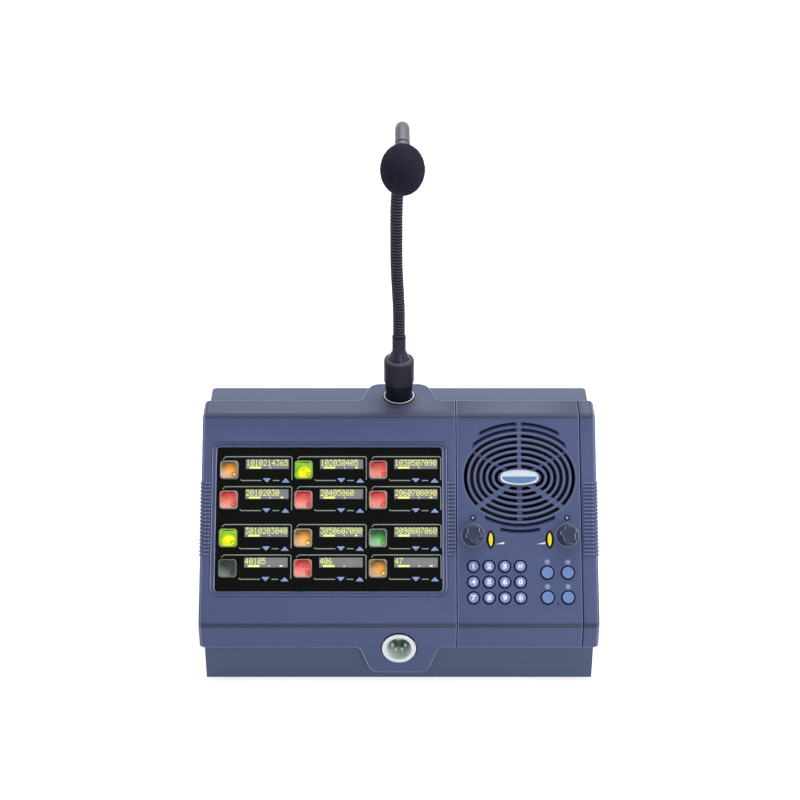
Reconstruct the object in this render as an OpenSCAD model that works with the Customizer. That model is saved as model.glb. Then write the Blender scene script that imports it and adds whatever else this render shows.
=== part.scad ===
// Desktop intercom panel: a wedge-shaped case with lit talk keys, a speaker grille,
// a dial pad and a gooseneck microphone. Sizes are in millimetres. The front faces -Y.

/* [Case] */
// Width over the front cover
cover_w = 306; // [300:1:312]
// How far the base stands in from the cover at each side
side_step = 3.5; // [3.5:0.5:5]
// How far the base stands back behind the cover's lips and tabs
lip_step = 5.3; // [5:0.1:6]
// Depth of the base at the floor
base_d = 161.5; // [160:0.5:170]
// Wall thickness of the base
base_wall = 3; // [2.5:0.5:4]
// Height of the rubber feet under the base
foot_h = 4; // [3:0.5:6]
// Thickness of the cover's skin
skin = 3; // [2.5:0.25:3.25]
// Slope of the key face above the horizontal, in degrees
slope_angle = 45; // [42:1:48]
// Length of the sloped key face
slope_len = 163; // [160:1:170]
// Height of the lower edge of the key face over the floor of the base
slope_foot_z = 52.2; // [50:0.1:56]
// Length of the cover's front lip, below the key face
lip_len = 19.6; // [18:0.2:22]
// Lean of the front lip and of the base's front wall, in degrees
front_lean = 7; // [5:1:9]
// Length of the cover's top lip, behind the key face
top_len = 19.2; // [18:0.2:22]
// Radius of the two bends of the cover
bend_r = 8; // [8:0.5:10]
// Radius of the cover's side edges
edge_r = 3.5; // [3:0.25:4]

/* [Key window] */
// Middle of the window, measured from the middle of the case
window_x = -53.9; // [-56:0.1:-51]
// Middle of the window, measured up the slope
window_s = 81.8; // [78:0.2:86]
// Width of the window
window_w = 175.4; // [172:0.2:176]
// Height of the window
window_h = 112.4; // [110:0.2:116]
// Width of the stepped ledge round the window
ledge_w = 3.8; // [3:0.2:4]
// Distance between columns of talk keys
key_pitch = 57.6; // [56:0.1:58]
// Distance between the two rows of a pair of talk keys
row_pitch = 23.4; // [23:0.2:24]
// Distance between the inner rows of the two pairs
pair_gap = 29.4; // [28:0.2:31]
// Width of a talk key
key_w = 14.2; // [13:0.2:15]
// Travel of a talk key
key_travel = 2; // [1:0.25:2]

/* [Controls] */
// Left seam of the control panel, measured from the middle of the case
seam_left_x = 44.3; // [44:0.1:46]
// Right seam of the control panel
seam_right_x = 140.3; // [139:0.1:142]
// Middle line of the controls
controls_x = 93.1; // [92:0.1:94]
// Middle of the speaker grille, measured up the slope
grille_s = 113.8; // [112:0.2:115]
// Distance between the ring slots of the grille
slot_pitch = 4.75; // [4.5:0.05:4.9]
// Width of a ring slot
slot_w = 2.6; // [2.2:0.1:2.8]
// Number of ring slots right round the grille
slot_count = 6; // [4:1:6]
// Distance between dial keys
dial_pitch = 12; // [11.5:0.1:12.2]
// Diameter of a dial key
dial_key_d = 7.8; // [7:0.1:8.4]
// Diameter of a function key
function_key_d = 8.9; // [8:0.1:9.4]
// Travel of the dial keys and function keys
dial_travel = 1.2; // [0.6:0.1:1.2]
// Diameter of a knob at its foot
knob_d = 16.4; // [15:0.2:17]
// Height of a knob over the panel
knob_h = 12; // [9:0.5:14]

/* [Microphone] */
// Distance of the microphone socket behind the top bend
mic_back = 26.3; // [25:0.1:28]
// Diameter of the gooseneck over its ribs
neck_d = 9; // [8:0.25:9.5]
// Distance between ribs of the gooseneck
rib_pitch = 2.3; // [2:0.1:3]
// Bend radius of the gooseneck at its top
arch_r = 20; // [18:1:24]
// Downward tilt of the capsule, in degrees
capsule_tilt = 11; // [8:1:20]
// Diameter of the foam windscreen
foam_d = 31; // [28:0.5:36]
// Length of the foam windscreen
foam_len = 43; // [38:0.5:48]

/* [Headset socket] */
// Inner diameter of the headset socket
headset_bore_d = 19.1; // [18.8:0.1:19.4]
// Diameter of its bright front ring
headset_ring_d = 26; // [25:0.5:27]

/* [Hidden] */
$fn = 64;
hair = 0.01;

DIAL_MARKS = ["1", "2", "3", "hash", "4", "5", "6", "0", "7", "8", "9", "star"];

// Side profile, as points [y, z] in the plane of symmetry
function line_hit(p, d, q, e) = p + d * ((q.x - p.x) * e.y - (q.y - p.y) * e.x) / (d.x * e.y - d.y * e.x);
slope_dir = [cos(slope_angle), sin(slope_angle)];
slope_out = [-sin(slope_angle), cos(slope_angle)];
lip_dir = [sin(front_lean), cos(front_lean)];
lip_out = [-cos(front_lean), sin(front_lean)];
level_dir = [1, 0];
front_turn = 90 - front_lean - slope_angle;
front_tangent = bend_r * tan(front_turn / 2);
top_tangent = bend_r * tan(slope_angle / 2);
slope_foot = [1.1, slope_foot_z];
slope_head = slope_foot + slope_len * slope_dir;
lip_end = slope_foot - lip_len * lip_dir;
top_end = slope_head + top_len * level_dir;
deck_z = slope_head.y - lip_step;
base_w = cover_w - 2 * side_step;

// Tabs of the key cover, drawn with the rim at y = 0 and the tab below it
tab_rim_half = 34.3;
tab_len = 23.4;
tab_flank = 70;
tab_fillet_r = 6;
tab_corner_r = 9.5;
tab_sink = 0.1;

// The part stands on its feet, with its origin in the middle of its footprint
front_y = lip_end.x - tab_len * lip_dir.x;
mid_y = (front_y + base_d) / 2;

module placed() {
    translate([0, -mid_y, foot_h]) children();
}

// Local frames: x across, y along the face, z out of it
module on_slope(x = 0, s = 0) {
    translate([x, slope_foot.x, slope_foot.y]) rotate([slope_angle, 0, 0]) translate([0, s, 0]) children();
}

module on_lip() {
    translate([0, lip_end.x, lip_end.y]) rotate([90 - front_lean, 0, 0]) children();
}

module on_top() {
    translate([0, slope_head.x, slope_head.y]) children();
}

// A plate across X, from a side-view outline
module across(x0, x1) {
    translate([x0, 0, 0]) rotate([90, 0, 90]) linear_extrude(x1 - x0) children();
}

// A prism out of a face, between two heights
module prism(z0, z1) {
    translate([0, 0, z0]) linear_extrude(z1 - z0) children();
}

module disc(r, z0, z1) {
    translate([0, 0, z0]) cylinder(r = r, h = z1 - z0);
}

module slab(w, h, z0, z1) {
    translate([-w / 2, -h / 2, z0]) cube([w, h, z1 - z0]);
}

// Rectangle with round corners
module rounded(w, h, r) {
    square([w - 2 * r, h], center = true);
    square([w, h - 2 * r], center = true);
    for (x = [-1, 1], y = [-1, 1]) translate([x * (w / 2 - r), y * (h / 2 - r)]) circle(r);
}

// Oval of four arcs: half-width a and half-height b, with end arcs centred at +-end_x
module oval(a, b, end_x) {
    rise = b - a + end_x;
    drop = (end_x * end_x - rise * rise) / (2 * rise);
    far = 4;
    for (side = [0, 1]) mirror([0, side]) intersection() {
        translate([0, -drop]) circle(b + drop, $fn = 128);
        polygon([
            [-end_x, 0], [end_x, 0],
            [far * end_x, (far - 1) * drop], [-far * end_x, (far - 1) * drop]
        ]);
    }
    for (x = [-end_x, end_x]) translate([x, 0]) circle(a - end_x);
}

// Section of a shell as points [x, height over the face]: a skin whose edges turn down. At an
// outer side the edge is round and meets the side wall, at a seam it is a stiffening flange.
// First come the six inner corners, then the round right edge and the round left edge.
seam_r = 0.8;
seam_gap = 0.5;
seam_wall = 2;
seam_drop = lip_step - 0.1;
seam_steps = 3;
edge_drop = 5;
edge_steps = 8;
function arc(centre, r, from, to, steps) =
    [for (i = [0:steps]) let (a = from + (to - from) * i / steps) centre + r * [cos(a), sin(a)]];
function skin_section(x0, x1, outer_left, outer_right) = let (
    left_r = outer_left ? edge_r : seam_r,
    right_r = outer_right ? edge_r : seam_r,
    left_in = x0 + (outer_left ? edge_r : seam_wall),
    right_in = x1 - (outer_right ? edge_r : seam_wall),
    left_drop = outer_left ? edge_drop : seam_drop,
    right_drop = outer_right ? edge_drop : seam_drop
) concat(
    [[x0, -left_drop], [left_in, -left_drop], [left_in, -skin]],
    [[right_in, -skin], [right_in, -right_drop], [x1, -right_drop]],
    arc([x1 - right_r, -right_r], right_r, 0, 90, outer_right ? edge_steps : seam_steps),
    arc([x0 + left_r, -left_r], left_r, 90, 180, outer_left ? edge_steps : seam_steps)
);
// An end of the section in convex faces: two feet, two fans over the round edges and the skin
function section_faces(m, right) = concat(
    [[0, 1, 2, m - 1], [3, 4, 5, 6], [2, 3, 6 + right, 7 + right]],
    [for (k = [6:5 + right]) [3, k, k + 1]],
    [for (k = [7 + right:m - 2]) [2, k, k + 1]]
);

// Stations along the side profile, each a point and the outward direction there
bend_steps = 8;
function bend_stations(centre, from, to) =
    [for (p = arc(centre, bend_r, from, to, bend_steps)) [p, (p - centre) / bend_r]];
front_bend = slope_foot + front_tangent * slope_dir - bend_r * slope_out;
top_bend = slope_head - top_tangent * slope_dir - bend_r * slope_out;
stations = concat(
    [[lip_end, lip_out]],
    bend_stations(front_bend, 180 - front_lean, 90 + slope_angle),
    bend_stations(top_bend, 90 + slope_angle, 90),
    [[top_end, [0, 1]]]
);

module along_cover(section, right) {
    m = len(section);
    last = (len(stations) - 1) * m;
    ends = section_faces(m, right);
    polyhedron(
        points = [for (st = stations, q = section) let (p = st[0] + q.y * st[1]) [q.x, p.x, p.y]],
        faces = concat(
            [for (f = ends) [for (k = [len(f) - 1:-1:0]) f[k]]],
            [for (f = ends) [for (k = f) last + k]],
            [for (i = [0:len(stations) - 2], k = [0:m - 1]) let (a = i * m + k, b = i * m + (k + 1) % m)
                [a, b, b + m, a + m]]
        )
    );
}

// Side wall of a shell, under its rounded edge
wall_inset = 4;
wall_end = 0.9;
function inset_corner(p, normal_angle, half_turn) =
    p - wall_inset / cos(half_turn) * [cos(normal_angle), sin(normal_angle)];

module side_wall_outline() {
    polygon([
        lip_end - wall_inset * lip_out + wall_end * lip_dir,
        inset_corner(slope_foot, 90 + slope_angle + front_turn / 2, front_turn / 2),
        inset_corner(slope_head, 90 + slope_angle / 2, slope_angle / 2),
        [top_end.x - wall_end, top_end.y - wall_inset],
        [top_end.x - wall_end, deck_z + wall_end]
    ]);
}

// The edges that bear on the base: a flange under the front lip, a wall under the top lip
flange_t = 2;
rim_inset = 0.4;

module bearing_edges(x0, x1) {
    w = x1 - x0 - 2 * seam_r;
    h = lip_step - skin / 2;
    on_lip() translate([x0 + seam_r, rim_inset, -lip_step]) cube([w, flange_t, h]);
    translate([x0 + seam_r, top_end.x - rim_inset - flange_t, deck_z]) cube([w, flange_t, h]);
}

module shell(x0, x1, outer_left = false, outer_right = false) {
    along_cover(skin_section(x0, x1, outer_left, outer_right), outer_right ? edge_steps : seam_steps);
    bearing_edges(x0, x1);
    if (outer_left) across(x0, x0 + skin) side_wall_outline();
    if (outer_right) across(x1 - skin, x1) side_wall_outline();
}

// Carries a section along a stretch of the slope
module run(from, to) {
    translate([0, to, 0]) rotate([90, 0, 0]) linear_extrude(to - from) children();
}

// Grip ribs: short ridges that stand out of a shell and turn over its edge
grip_count = 20;
grip_pitch = 2.9;
grip_w = 1.6;
grip_h = 0.7;
grip_s = 82;

module grip_ribs(start, end, over_edge) {
    wrapped = concat(
        [[end, -skin / 2], [end, grip_h]],
        arc([edge_r, -edge_r], edge_r + grip_h, 90, 180, edge_steps),
        [[-grip_h, 0.4 - edge_drop], [edge_r - grip_h, 0.4 - edge_drop], [edge_r - grip_h, -skin / 2]]
    );
    flat = [[start, -skin / 2], [end, -skin / 2], [end, grip_h], [start, grip_h]];
    for (i = [0:grip_count - 1])
        translate([0, (i - (grip_count - 1) / 2) * grip_pitch - grip_w / 2, 0])
            run(0, grip_w)
                polygon(over_edge ? wrapped : flat);
}

// Outline of a tab: a flat foot, round corners, slanted flanks and fillets into the rim
module tab_outline() {
    flank_out = [sin(tab_flank), -cos(tab_flank)];
    fillet_at = [tab_rim_half, -tab_fillet_r];
    flank_top = fillet_at - tab_fillet_r * flank_out;
    corner_y = tab_corner_r - tab_len;
    flank_foot_y = corner_y + tab_corner_r * flank_out.y;
    flank_foot = [flank_top.x + (flank_foot_y - flank_top.y) / tan(tab_flank), flank_foot_y];
    corner_at = [flank_foot.x - tab_corner_r * flank_out.x, corner_y];
    difference() {
        for (side = [0, 1]) mirror([side, 0]) {
            polygon([
                [0, tab_sink], [tab_rim_half, tab_sink], flank_top,
                flank_foot, [corner_at.x, -tab_len], [0, -tab_len]
            ]);
            translate(corner_at) circle(tab_corner_r);
        }
        for (side = [0, 1]) mirror([side, 0]) translate(fillet_at) circle(tab_fillet_r);
    }
}

// Base: a wedge open at the bottom and under the key face, with a level deck at the rear
base_drop = 8;
base_line = lip_end - lip_step * lip_out;
base_edge = slope_foot - base_drop * slope_out;
base_foot_y = line_hit(base_line, lip_dir, [0, 0], level_dir).x;
deck_front = line_hit(base_edge, slope_dir, [0, deck_z], level_dir);
base_corner_r = 3;
socket_hole_r = 14;
headset_y = -1;
mic_hole_r = 12.2;
mic_y = slope_head.x + mic_back;
mic_z = slope_head.y;

module base_outline() {
    polygon([
        [base_foot_y, 0],
        line_hit(base_line, lip_dir, base_edge, slope_dir),
        deck_front,
        [base_d, deck_z],
        [base_d, 0]
    ]);
}

module base_hollow_outline() {
    inner_line = base_line - base_wall * lip_out;
    over_edge = base_edge + 10 * slope_out;
    ceiling = [0, deck_z - base_wall];
    polygon([
        line_hit(inner_line, lip_dir, [0, -1], level_dir),
        line_hit(inner_line, lip_dir, over_edge, slope_dir),
        line_hit(over_edge, slope_dir, ceiling, level_dir),
        [base_d - base_wall, ceiling.y],
        [base_d - base_wall, -1]
    ]);
}

// Corner bosses take the case screws
boss_r = 5;
boss_x = base_w / 2 - base_wall - boss_r + 1;
boss_front_y = 14;
boss_rear_y = base_d - 10;
boss_top = 34;
plate_t = 2;
screw_r = 1.5;

module at_bosses() {
    for (x = [-boss_x, boss_x], y = [boss_front_y, boss_rear_y]) translate([x, y, 0]) children();
}

// Sockets in the rear wall stand on the main board
board_t = 1.6;
main_board_z = 12;
socket_floor = main_board_z + board_t;
jack_w = 16.4;
jack_h = 13.6;
jack_d = 21;
jack_x = [-64, -42];
jack_bore = [11.8, 8.4];
inlet_x = 62;
inlet_w = 29;
inlet_h = 21;
inlet_d = 26;
inlet_bore = [24.6, 16.8];
cut_gap = 0.25;

module rear_cut(x, w, h) {
    translate([x - w / 2 - cut_gap, base_d - base_wall - 1, socket_floor - cut_gap])
        cube([w + 2 * cut_gap, base_wall + 2, h + 2 * cut_gap]);
}

module base_corner(x, turn) {
    translate([x, base_d, 0]) rotate([0, 0, turn]) difference() {
        translate([-hair, -hair, -1]) cube([base_corner_r + hair, base_corner_r + hair, deck_z + 2]);
        translate([base_corner_r, base_corner_r, -2]) cylinder(r = base_corner_r, h = deck_z + 4);
    }
}

module base_shell() {
    color("slategray") placed() difference() {
        union() {
            difference() {
                across(-base_w / 2, base_w / 2) base_outline();
                across(base_wall - base_w / 2, base_w / 2 - base_wall) base_hollow_outline();
            }
            at_bosses() disc(boss_r, plate_t, boss_top);
        }
        at_bosses() disc(screw_r, plate_t - 1, boss_top - 4);
        base_corner(-base_w / 2, -90);
        base_corner(base_w / 2, 180);
        on_lip() translate([0, headset_y, 0]) disc(socket_hole_r, -lip_step - base_wall - 2, 0);
        translate([0, mic_y, deck_z]) disc(mic_hole_r, -base_wall - 1, 1);
        for (x = jack_x) rear_cut(x, jack_w, jack_h);
        rear_cut(inlet_x, inlet_w, inlet_h);
    }
}

// Bottom plate with standoffs for the main board
plate_gap = 0.4;
plate_w = base_w - 2 * base_wall - 2 * plate_gap;
plate_front = base_foot_y + base_wall + 1;
standoff_x = 72;
standoff_y = [78, 142];
standoff_r = 3;
head_r = 3;

module bottom_plate() {
    color("dimgray") placed() difference() {
        union() {
            translate([-plate_w / 2, plate_front, 0])
                cube([plate_w, base_d - base_wall - plate_gap - plate_front, plate_t]);
            for (x = [-standoff_x, standoff_x], y = standoff_y)
                translate([x, y, 0]) disc(standoff_r, plate_t - hair, main_board_z);
        }
        at_bosses() translate([0, 0, -hair])
            cylinder(r1 = head_r + 0.2, r2 = screw_r + 0.1, h = plate_t + 2 * hair);
    }
}

module case_screws() {
    color("darkgray") placed() at_bosses() {
        translate([0, 0, 0.1]) cylinder(r1 = head_r, r2 = screw_r, h = plate_t - 0.1);
        disc(screw_r, plate_t - 0.3, 16);
    }
}

// Rubber feet
foot_r = 6.5;
foot_x = 131.3;
foot_front_y = 10;
foot_rear_y = base_d - 14;

module feet() {
    color("black") placed()
        for (x = [-foot_x, foot_x], y = [foot_front_y, foot_rear_y]) translate([x, y, -foot_h])
            cylinder(r1 = foot_r - 1, r2 = foot_r, h = foot_h);
}

module main_board() {
    color("darkgreen") placed() translate([-84, 70, main_board_z])
        cube([168, base_d - base_wall - 2 - 70, board_t]);
}

module line_jacks() {
    color("black") placed() for (x = jack_x) translate([x, base_d, socket_floor + jack_h / 2])
        difference() {
            translate([-jack_w / 2, -jack_d, -jack_h / 2]) cube([jack_w, jack_d, jack_h]);
            translate([-jack_bore.x / 2, -jack_d + 3, -jack_bore.y / 2])
                cube([jack_bore.x, jack_d, jack_bore.y]);
        }
}

// Inlet with three blades in its well
blade_at = [[-7, 2], [7, 2], [0, -3]];

module power_inlet() {
    color("black") placed() translate([inlet_x, base_d, socket_floor + inlet_h / 2]) {
        difference() {
            translate([-inlet_w / 2, -inlet_d, -inlet_h / 2]) cube([inlet_w, inlet_d, inlet_h]);
            rotate([90, 0, 0]) prism(-1, inlet_d - 6) rounded(inlet_bore.x, inlet_bore.y, 2);
        }
        for (p = blade_at) translate([p.x - 1, -inlet_d + 5, p.y - 2]) cube([2, 15, 4]);
    }
}

// Key cover: window with a stepped ledge, a front tab and a rear tab with the two sockets
ledge_depth = 1;
window_r = 3.2;
key_cover_end = seam_left_x - seam_gap / 2;

module at_window() {
    on_slope(window_x, window_s) children();
}

module key_cover() {
    color("steelblue") placed() difference() {
        union() {
            shell(-cover_w / 2, key_cover_end, outer_left = true);
            on_lip() prism(-lip_step, -tab_sink) tab_outline();
            translate([0, top_end.x, top_end.y]) mirror([0, 1, 0])
                prism(-lip_step, -tab_sink) tab_outline();
            on_slope(-cover_w / 2, grip_s) grip_ribs(edge_r, 9, true);
            on_slope(key_cover_end, grip_s) mirror([1, 0, 0]) grip_ribs(seam_r, 8, false);
        }
        at_window() prism(-ledge_depth, 1)
            rounded(window_w + 2 * ledge_w, window_h + 2 * ledge_w, window_r + ledge_w);
        at_window() prism(-skin - 1, 1) rounded(window_w, window_h, window_r);
        on_lip() translate([0, headset_y, 0]) disc(socket_hole_r, -lip_step - 1, 1);
        translate([0, mic_y, mic_z]) disc(mic_hole_r, -lip_step - 1, 1);
    }
}

// Speaker grille: ring slots round an oval hub. Broad spokes are flush with the panel,
// thin ribs and the outermost arcs are sunk.
hub_a = 18;
hub_b = 8.7;
hub_end_x = 12.4;
top_spoke_w = 3;
spokes = [[90, top_spoke_w], [-144.5, 3.8], [-35.5, 3.8]];
rib_angles = [[-90, 4], [150.5, 2], [29.5, 2]];
sunk = 1.3;
blind_w = 2.9;
blind_depth = 1.9;
top_arc_spans = [36.2, 31];
bottom_arc_spans = [27, 15.4];

module ring_slot(i, w = slot_w) {
    grow = i * slot_pitch;
    difference() {
        oval(hub_a + grow + w / 2, hub_b + grow + w / 2, hub_end_x);
        oval(hub_a + grow - w / 2, hub_b + grow - w / 2, hub_end_x);
    }
}

module spoke(angle, w) {
    rotate(angle) translate([0, -w / 2]) square([80, w]);
}

module at_grille() {
    on_slope(controls_x, grille_s) children();
}

module grille_cut() {
    at_grille() {
        prism(-skin - 1, 1) difference() {
            for (i = [0:slot_count - 1]) ring_slot(i);
            for (bar = spokes) spoke(bar[0], bar[1]);
            for (rib = rib_angles) spoke(rib[0], rib[1]);
        }
        prism(-sunk, 1) difference() {
            for (i = [0:slot_count - 1]) ring_slot(i);
            for (bar = spokes) spoke(bar[0], bar[1]);
        }
        prism(-blind_depth, 1) for (i = [0, 1]) {
            intersection() {
                ring_slot(slot_count + i, blind_w);
                for (side = [0, 1]) mirror([side, 0]) translate([top_spoke_w / 2, 0])
                    square([top_arc_spans[i] - top_spoke_w / 2, 90]);
            }
            intersection() {
                ring_slot(slot_count + i, blind_w);
                translate([-bottom_arc_spans[i], -90]) square([2 * bottom_arc_spans[i], 90]);
            }
        }
    }
}

// Places of the controls on the panel, measured from the middle line and up the slope
knob_at = [[-36.2, 69], [36.2, 69]];
level_at = [[-22.6, 65.8], [22.6, 65.8]];
side_light_at = [[-36.2, 82.5], [36.2, 82.5]];
function_at = [[20.4, 40.4], [36.1, 40.4], [20.4, 21.5], [36.1, 21.5]];
function_light_rise = 8.2;
dial_origin = [-36.2, 45.2];
function dial_at(i) = dial_origin + dial_pitch * [i % 4, -floor(i / 4)];
pinhole_at = [28.2, 16.6];
dial_hole_r = dial_key_d / 2 + 0.85;
function_hole_r = function_key_d / 2 + 0.7;
side_light_r = 2.1;
function_light_r = 1.7;
spindle_r = 3;
recess_r = 9;
recess_depth = 1;

module at_control(p) {
    on_slope(controls_x + p.x, p.y) children();
}

// Pointed lens of two arcs
module lens(w, h) {
    r = (h * h + w * w) / (4 * w);
    intersection_for (side = [-1, 1]) translate([side * (r - w / 2), 0]) circle(r, $fn = 128);
}

level_hole = [5.8, 13.2];
level_lens = [3.9, 11.2];
post_at = [[-42, 87], [42, 87], [-41, 11], [41, 11]];
post_r = 3;
control_board_z = -12.5;

module control_panel() {
    color("steelblue") placed() difference() {
        union() {
            shell(seam_left_x + seam_gap / 2, seam_right_x - seam_gap / 2);
            for (p = post_at) at_control(p) disc(post_r, control_board_z, -skin / 2);
        }
        grille_cut();
        for (p = knob_at) at_control(p) {
            disc(recess_r, -recess_depth, 1);
            disc(spindle_r + 0.6, -skin - 1, 0);
        }
        for (p = level_at) at_control(p) prism(-skin - 1, 1) lens(level_hole.x, level_hole.y);
        for (p = side_light_at) at_control(p) disc(side_light_r + 0.15, -skin - 1, 1);
        for (p = function_at) {
            at_control(p) disc(function_hole_r, -skin - 1, 1);
            at_control(p + [0, function_light_rise]) disc(function_light_r + 0.15, -skin - 1, 1);
        }
        for (i = [0:11]) at_control(dial_at(i)) disc(dial_hole_r, -skin - 1, 1);
        at_control(pinhole_at) disc(0.7, -skin - 1, 1);
    }
}

module end_cap() {
    color("steelblue") placed() {
        shell(seam_right_x + seam_gap / 2, cover_w / 2, outer_right = true);
        on_slope(cover_w / 2, grip_s) mirror([1, 0, 0]) grip_ribs(edge_r, 11.4, true);
    }
}

// Talk keys: three columns and two pairs of rows in the window
key_shift_x = -19.9;
display_off = [29.3, 4.7];
display_size = [33.2, 7.4];
arrow_off = [[29.1, -8.2], [43.7, -8.2]];
arrow_size = [7.2, 3.5];
row_s = [pair_gap / 2 + row_pitch, pair_gap / 2, -pair_gap / 2, -pair_gap / 2 - row_pitch];
function key_at(i) = [key_shift_x + (i % 3 - 1) * key_pitch, row_s[floor(i / 3)]];
bezel_face = -1.8;
bezel_seat = -skin;
bezel_back = -6;
key_gap = 0.3;
key_r = 1.6;
key_top = 1.5;
key_flange_w = 16.6;
key_foot = -9.8;
key_board_z = -16;
switch_top = -12.2;

module at_cell(i, off = [0, 0]) {
    on_slope(window_x + key_at(i).x + off.x, window_s + key_at(i).y + off.y) children();
}

// Arrow key outline, pointing down or up
module arrow(w, h, up) {
    mirror([0, up ? 0 : 1]) polygon([[-w / 2, -h / 2], [w / 2, -h / 2], [0, h / 2]]);
}

module key_bezel() {
    color("black") placed() difference() {
        union() {
            at_window() prism(bezel_back, bezel_seat)
                rounded(window_w + 2 * ledge_w, window_h + 2 * ledge_w, window_r + ledge_w);
            at_window() prism(bezel_seat - hair, bezel_face)
                rounded(window_w - 0.4, window_h - 0.4, window_r);
            for (x = [-1, 1], y = [-1, 1]) at_window()
                translate([x * (window_w / 2 - 4), y * (window_h / 2 - 4), 0])
                    disc(post_r, key_board_z, bezel_back + hair);
        }
        for (i = [0:11]) {
            at_cell(i) prism(bezel_back - 1, 0)
                rounded(key_w + 2 * key_gap, key_w + 2 * key_gap, key_r + key_gap);
            at_cell(i, display_off) slab(display_size.x + 0.4, display_size.y + 0.4, bezel_back - 1, 0);
            for (k = [0, 1]) at_cell(i, arrow_off[k]) prism(bezel_back - 1, 0)
                arrow(arrow_size.x + 1.6, arrow_size.y + 1, k == 1);
        }
    }
}

module key_displays() {
    color("gray") placed() for (i = [0:11]) at_cell(i, display_off) {
        slab(display_size.x, display_size.y, bezel_back - hair, bezel_face - 0.5);
        slab(display_size.x + 3, display_size.y + 2.6, key_board_z, bezel_back);
    }
}

// Arrow keys: a rubber pad in each cell carries a down key and an up key
module arrow_keys() {
    pad_h = 5.2;
    pad_w = arrow_off[1].x - arrow_off[0].x + 10;
    middle = (arrow_off[0] + arrow_off[1]) / 2;
    color("cornflowerblue") placed() for (i = [0:11]) {
        at_cell(i, middle) slab(pad_w, pad_h, bezel_back - 1.5, bezel_back);
        for (k = [0, 1]) at_cell(i, arrow_off[k]) {
            prism(bezel_back - hair, bezel_face + 0.7) arrow(arrow_size.x, arrow_size.y, k == 1);
            disc(2, key_board_z, bezel_back - 1);
        }
    }
}

module key_board() {
    switch_w = 6;
    color("darkgreen") placed() {
        at_window() slab(window_w, window_h, key_board_z - board_t, key_board_z);
        for (i = [0:11]) at_cell(i) slab(switch_w, switch_w, key_board_z - hair, switch_top);
    }
}

module talk_key(i) {
    color("ivory") placed() at_cell(i) {
        difference() {
            prism(-7.6, key_top) rounded(key_w, key_w, key_r);
            translate([0, 0, 45 + key_top - 0.35]) sphere(45, $fn = 128);
        }
        prism(-7.6, bezel_back - 0.3) rounded(key_flange_w, key_flange_w, 1);
        disc(2.5, key_foot, -7.5);
    }
}

// Dial keys and function keys: a round cap on a flange, over a switch on the control board
round_key_top = 1.2;
round_key_foot = -8.4;

module round_key(r, flange_r) {
    crown = 40;
    intersection() {
        disc(r, -4, round_key_top);
        translate([0, 0, round_key_top - crown]) sphere(crown, $fn = 128);
    }
    disc(flange_r, -5.4, -skin - 0.3);
    disc(1.5, round_key_foot, -5.3);
}

module dial_key(i) {
    color("cornflowerblue") placed() at_control(dial_at(i)) round_key(dial_key_d / 2, 5.4);
}

module function_key(i) {
    color("cornflowerblue") placed() at_control(function_at[i]) round_key(function_key_d / 2, 5.6);
}

// Control board, with a switch under each key
module control_board() {
    switch_w = 4.5;
    board_w = 90;
    board_s = [7.5, 91];
    color("darkgreen") placed() {
        on_slope(controls_x, (board_s[0] + board_s[1]) / 2)
            slab(board_w, board_s[1] - board_s[0], control_board_z - board_t, control_board_z);
        for (i = [0:11]) at_control(dial_at(i)) slab(switch_w, switch_w, control_board_z - hair, -10);
        for (p = function_at) at_control(p) slab(switch_w, switch_w, control_board_z - hair, -10);
    }
}

module rotary_encoders() {
    body_w = 12.5;
    color("silver") placed() for (p = knob_at) at_control(p) difference() {
        union() {
            slab(body_w, body_w, control_board_z, -6);
            disc(4.6, -6 - hair, -skin);
        }
        disc(spindle_r + 0.08, control_board_z + 1, 0);
    }
}

// Knob: a tapered grip with flutes, on its own spindle
flute_count = 5;

module knob(turn) {
    top_r = knob_d / 2 - 1.6;
    rotate([0, 0, turn]) {
        difference() {
            translate([0, 0, -0.6]) cylinder(r1 = knob_d / 2, r2 = top_r, h = knob_h + 0.6);
            for (i = [0:flute_count - 1]) rotate([0, 0, i * 360 / flute_count])
                translate([top_r + 3.1, 0, 2]) cylinder(r = 4.6, h = knob_h);
            translate([0, 0, knob_h + 29]) sphere(30, $fn = 128);
        }
        disc(spindle_r, control_board_z + 1.5, 0);
    }
}

module main_knob() {
    color("black") placed() at_control(knob_at[0]) knob(20);
}

module aux_knob() {
    color("black") placed() at_control(knob_at[1]) knob(65);
}

// Speaker: basket with a rounded frame, paper cone with a dust cap, and a magnet
module speaker_driver() {
    frame_w = 80;
    frame_h = 64;
    cone_r = 28;
    color("dimgray") placed() at_grille() {
        difference() {
            prism(-6, -skin) rounded(frame_w, frame_h, 26);
            disc(cone_r, -7, 0);
        }
        rotate_extrude($fn = 96) polygon([
            [0, -30], [18, -30], [18, -20], [12, -19],
            [cone_r - 1, -7], [cone_r - 1, -5.4], [cone_r + 1, -5.4], [cone_r + 1, -4.6],
            [cone_r - 2, -4.2], [cone_r - 4, -5.6], [9, -15], [6, -13], [0, -12]
        ]);
    }
}

module grille_badge() {
    color("white") placed() at_grille() prism(0, 0.9) oval(15.5, 6.1, 11);
}

// Indicator lights: two beside the grille, one over each function key
module light(r) {
    intersection() {
        disc(r, -skin - 0.6, 0.5);
        translate([0, 0, 0.5 - 5]) sphere(5);
    }
    disc(r + 0.5, -skin - 1.5, -skin);
}

module indicator_lights() {
    color("lightsteelblue") placed() {
        for (p = side_light_at) at_control(p) {
            light(side_light_r - 0.5);
            disc(0.8, control_board_z, -skin - 1);
        }
        for (p = function_at) at_control(p + [0, function_light_rise]) {
            light(function_light_r);
            disc(0.8, control_board_z, -skin - 1);
        }
    }
}

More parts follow.
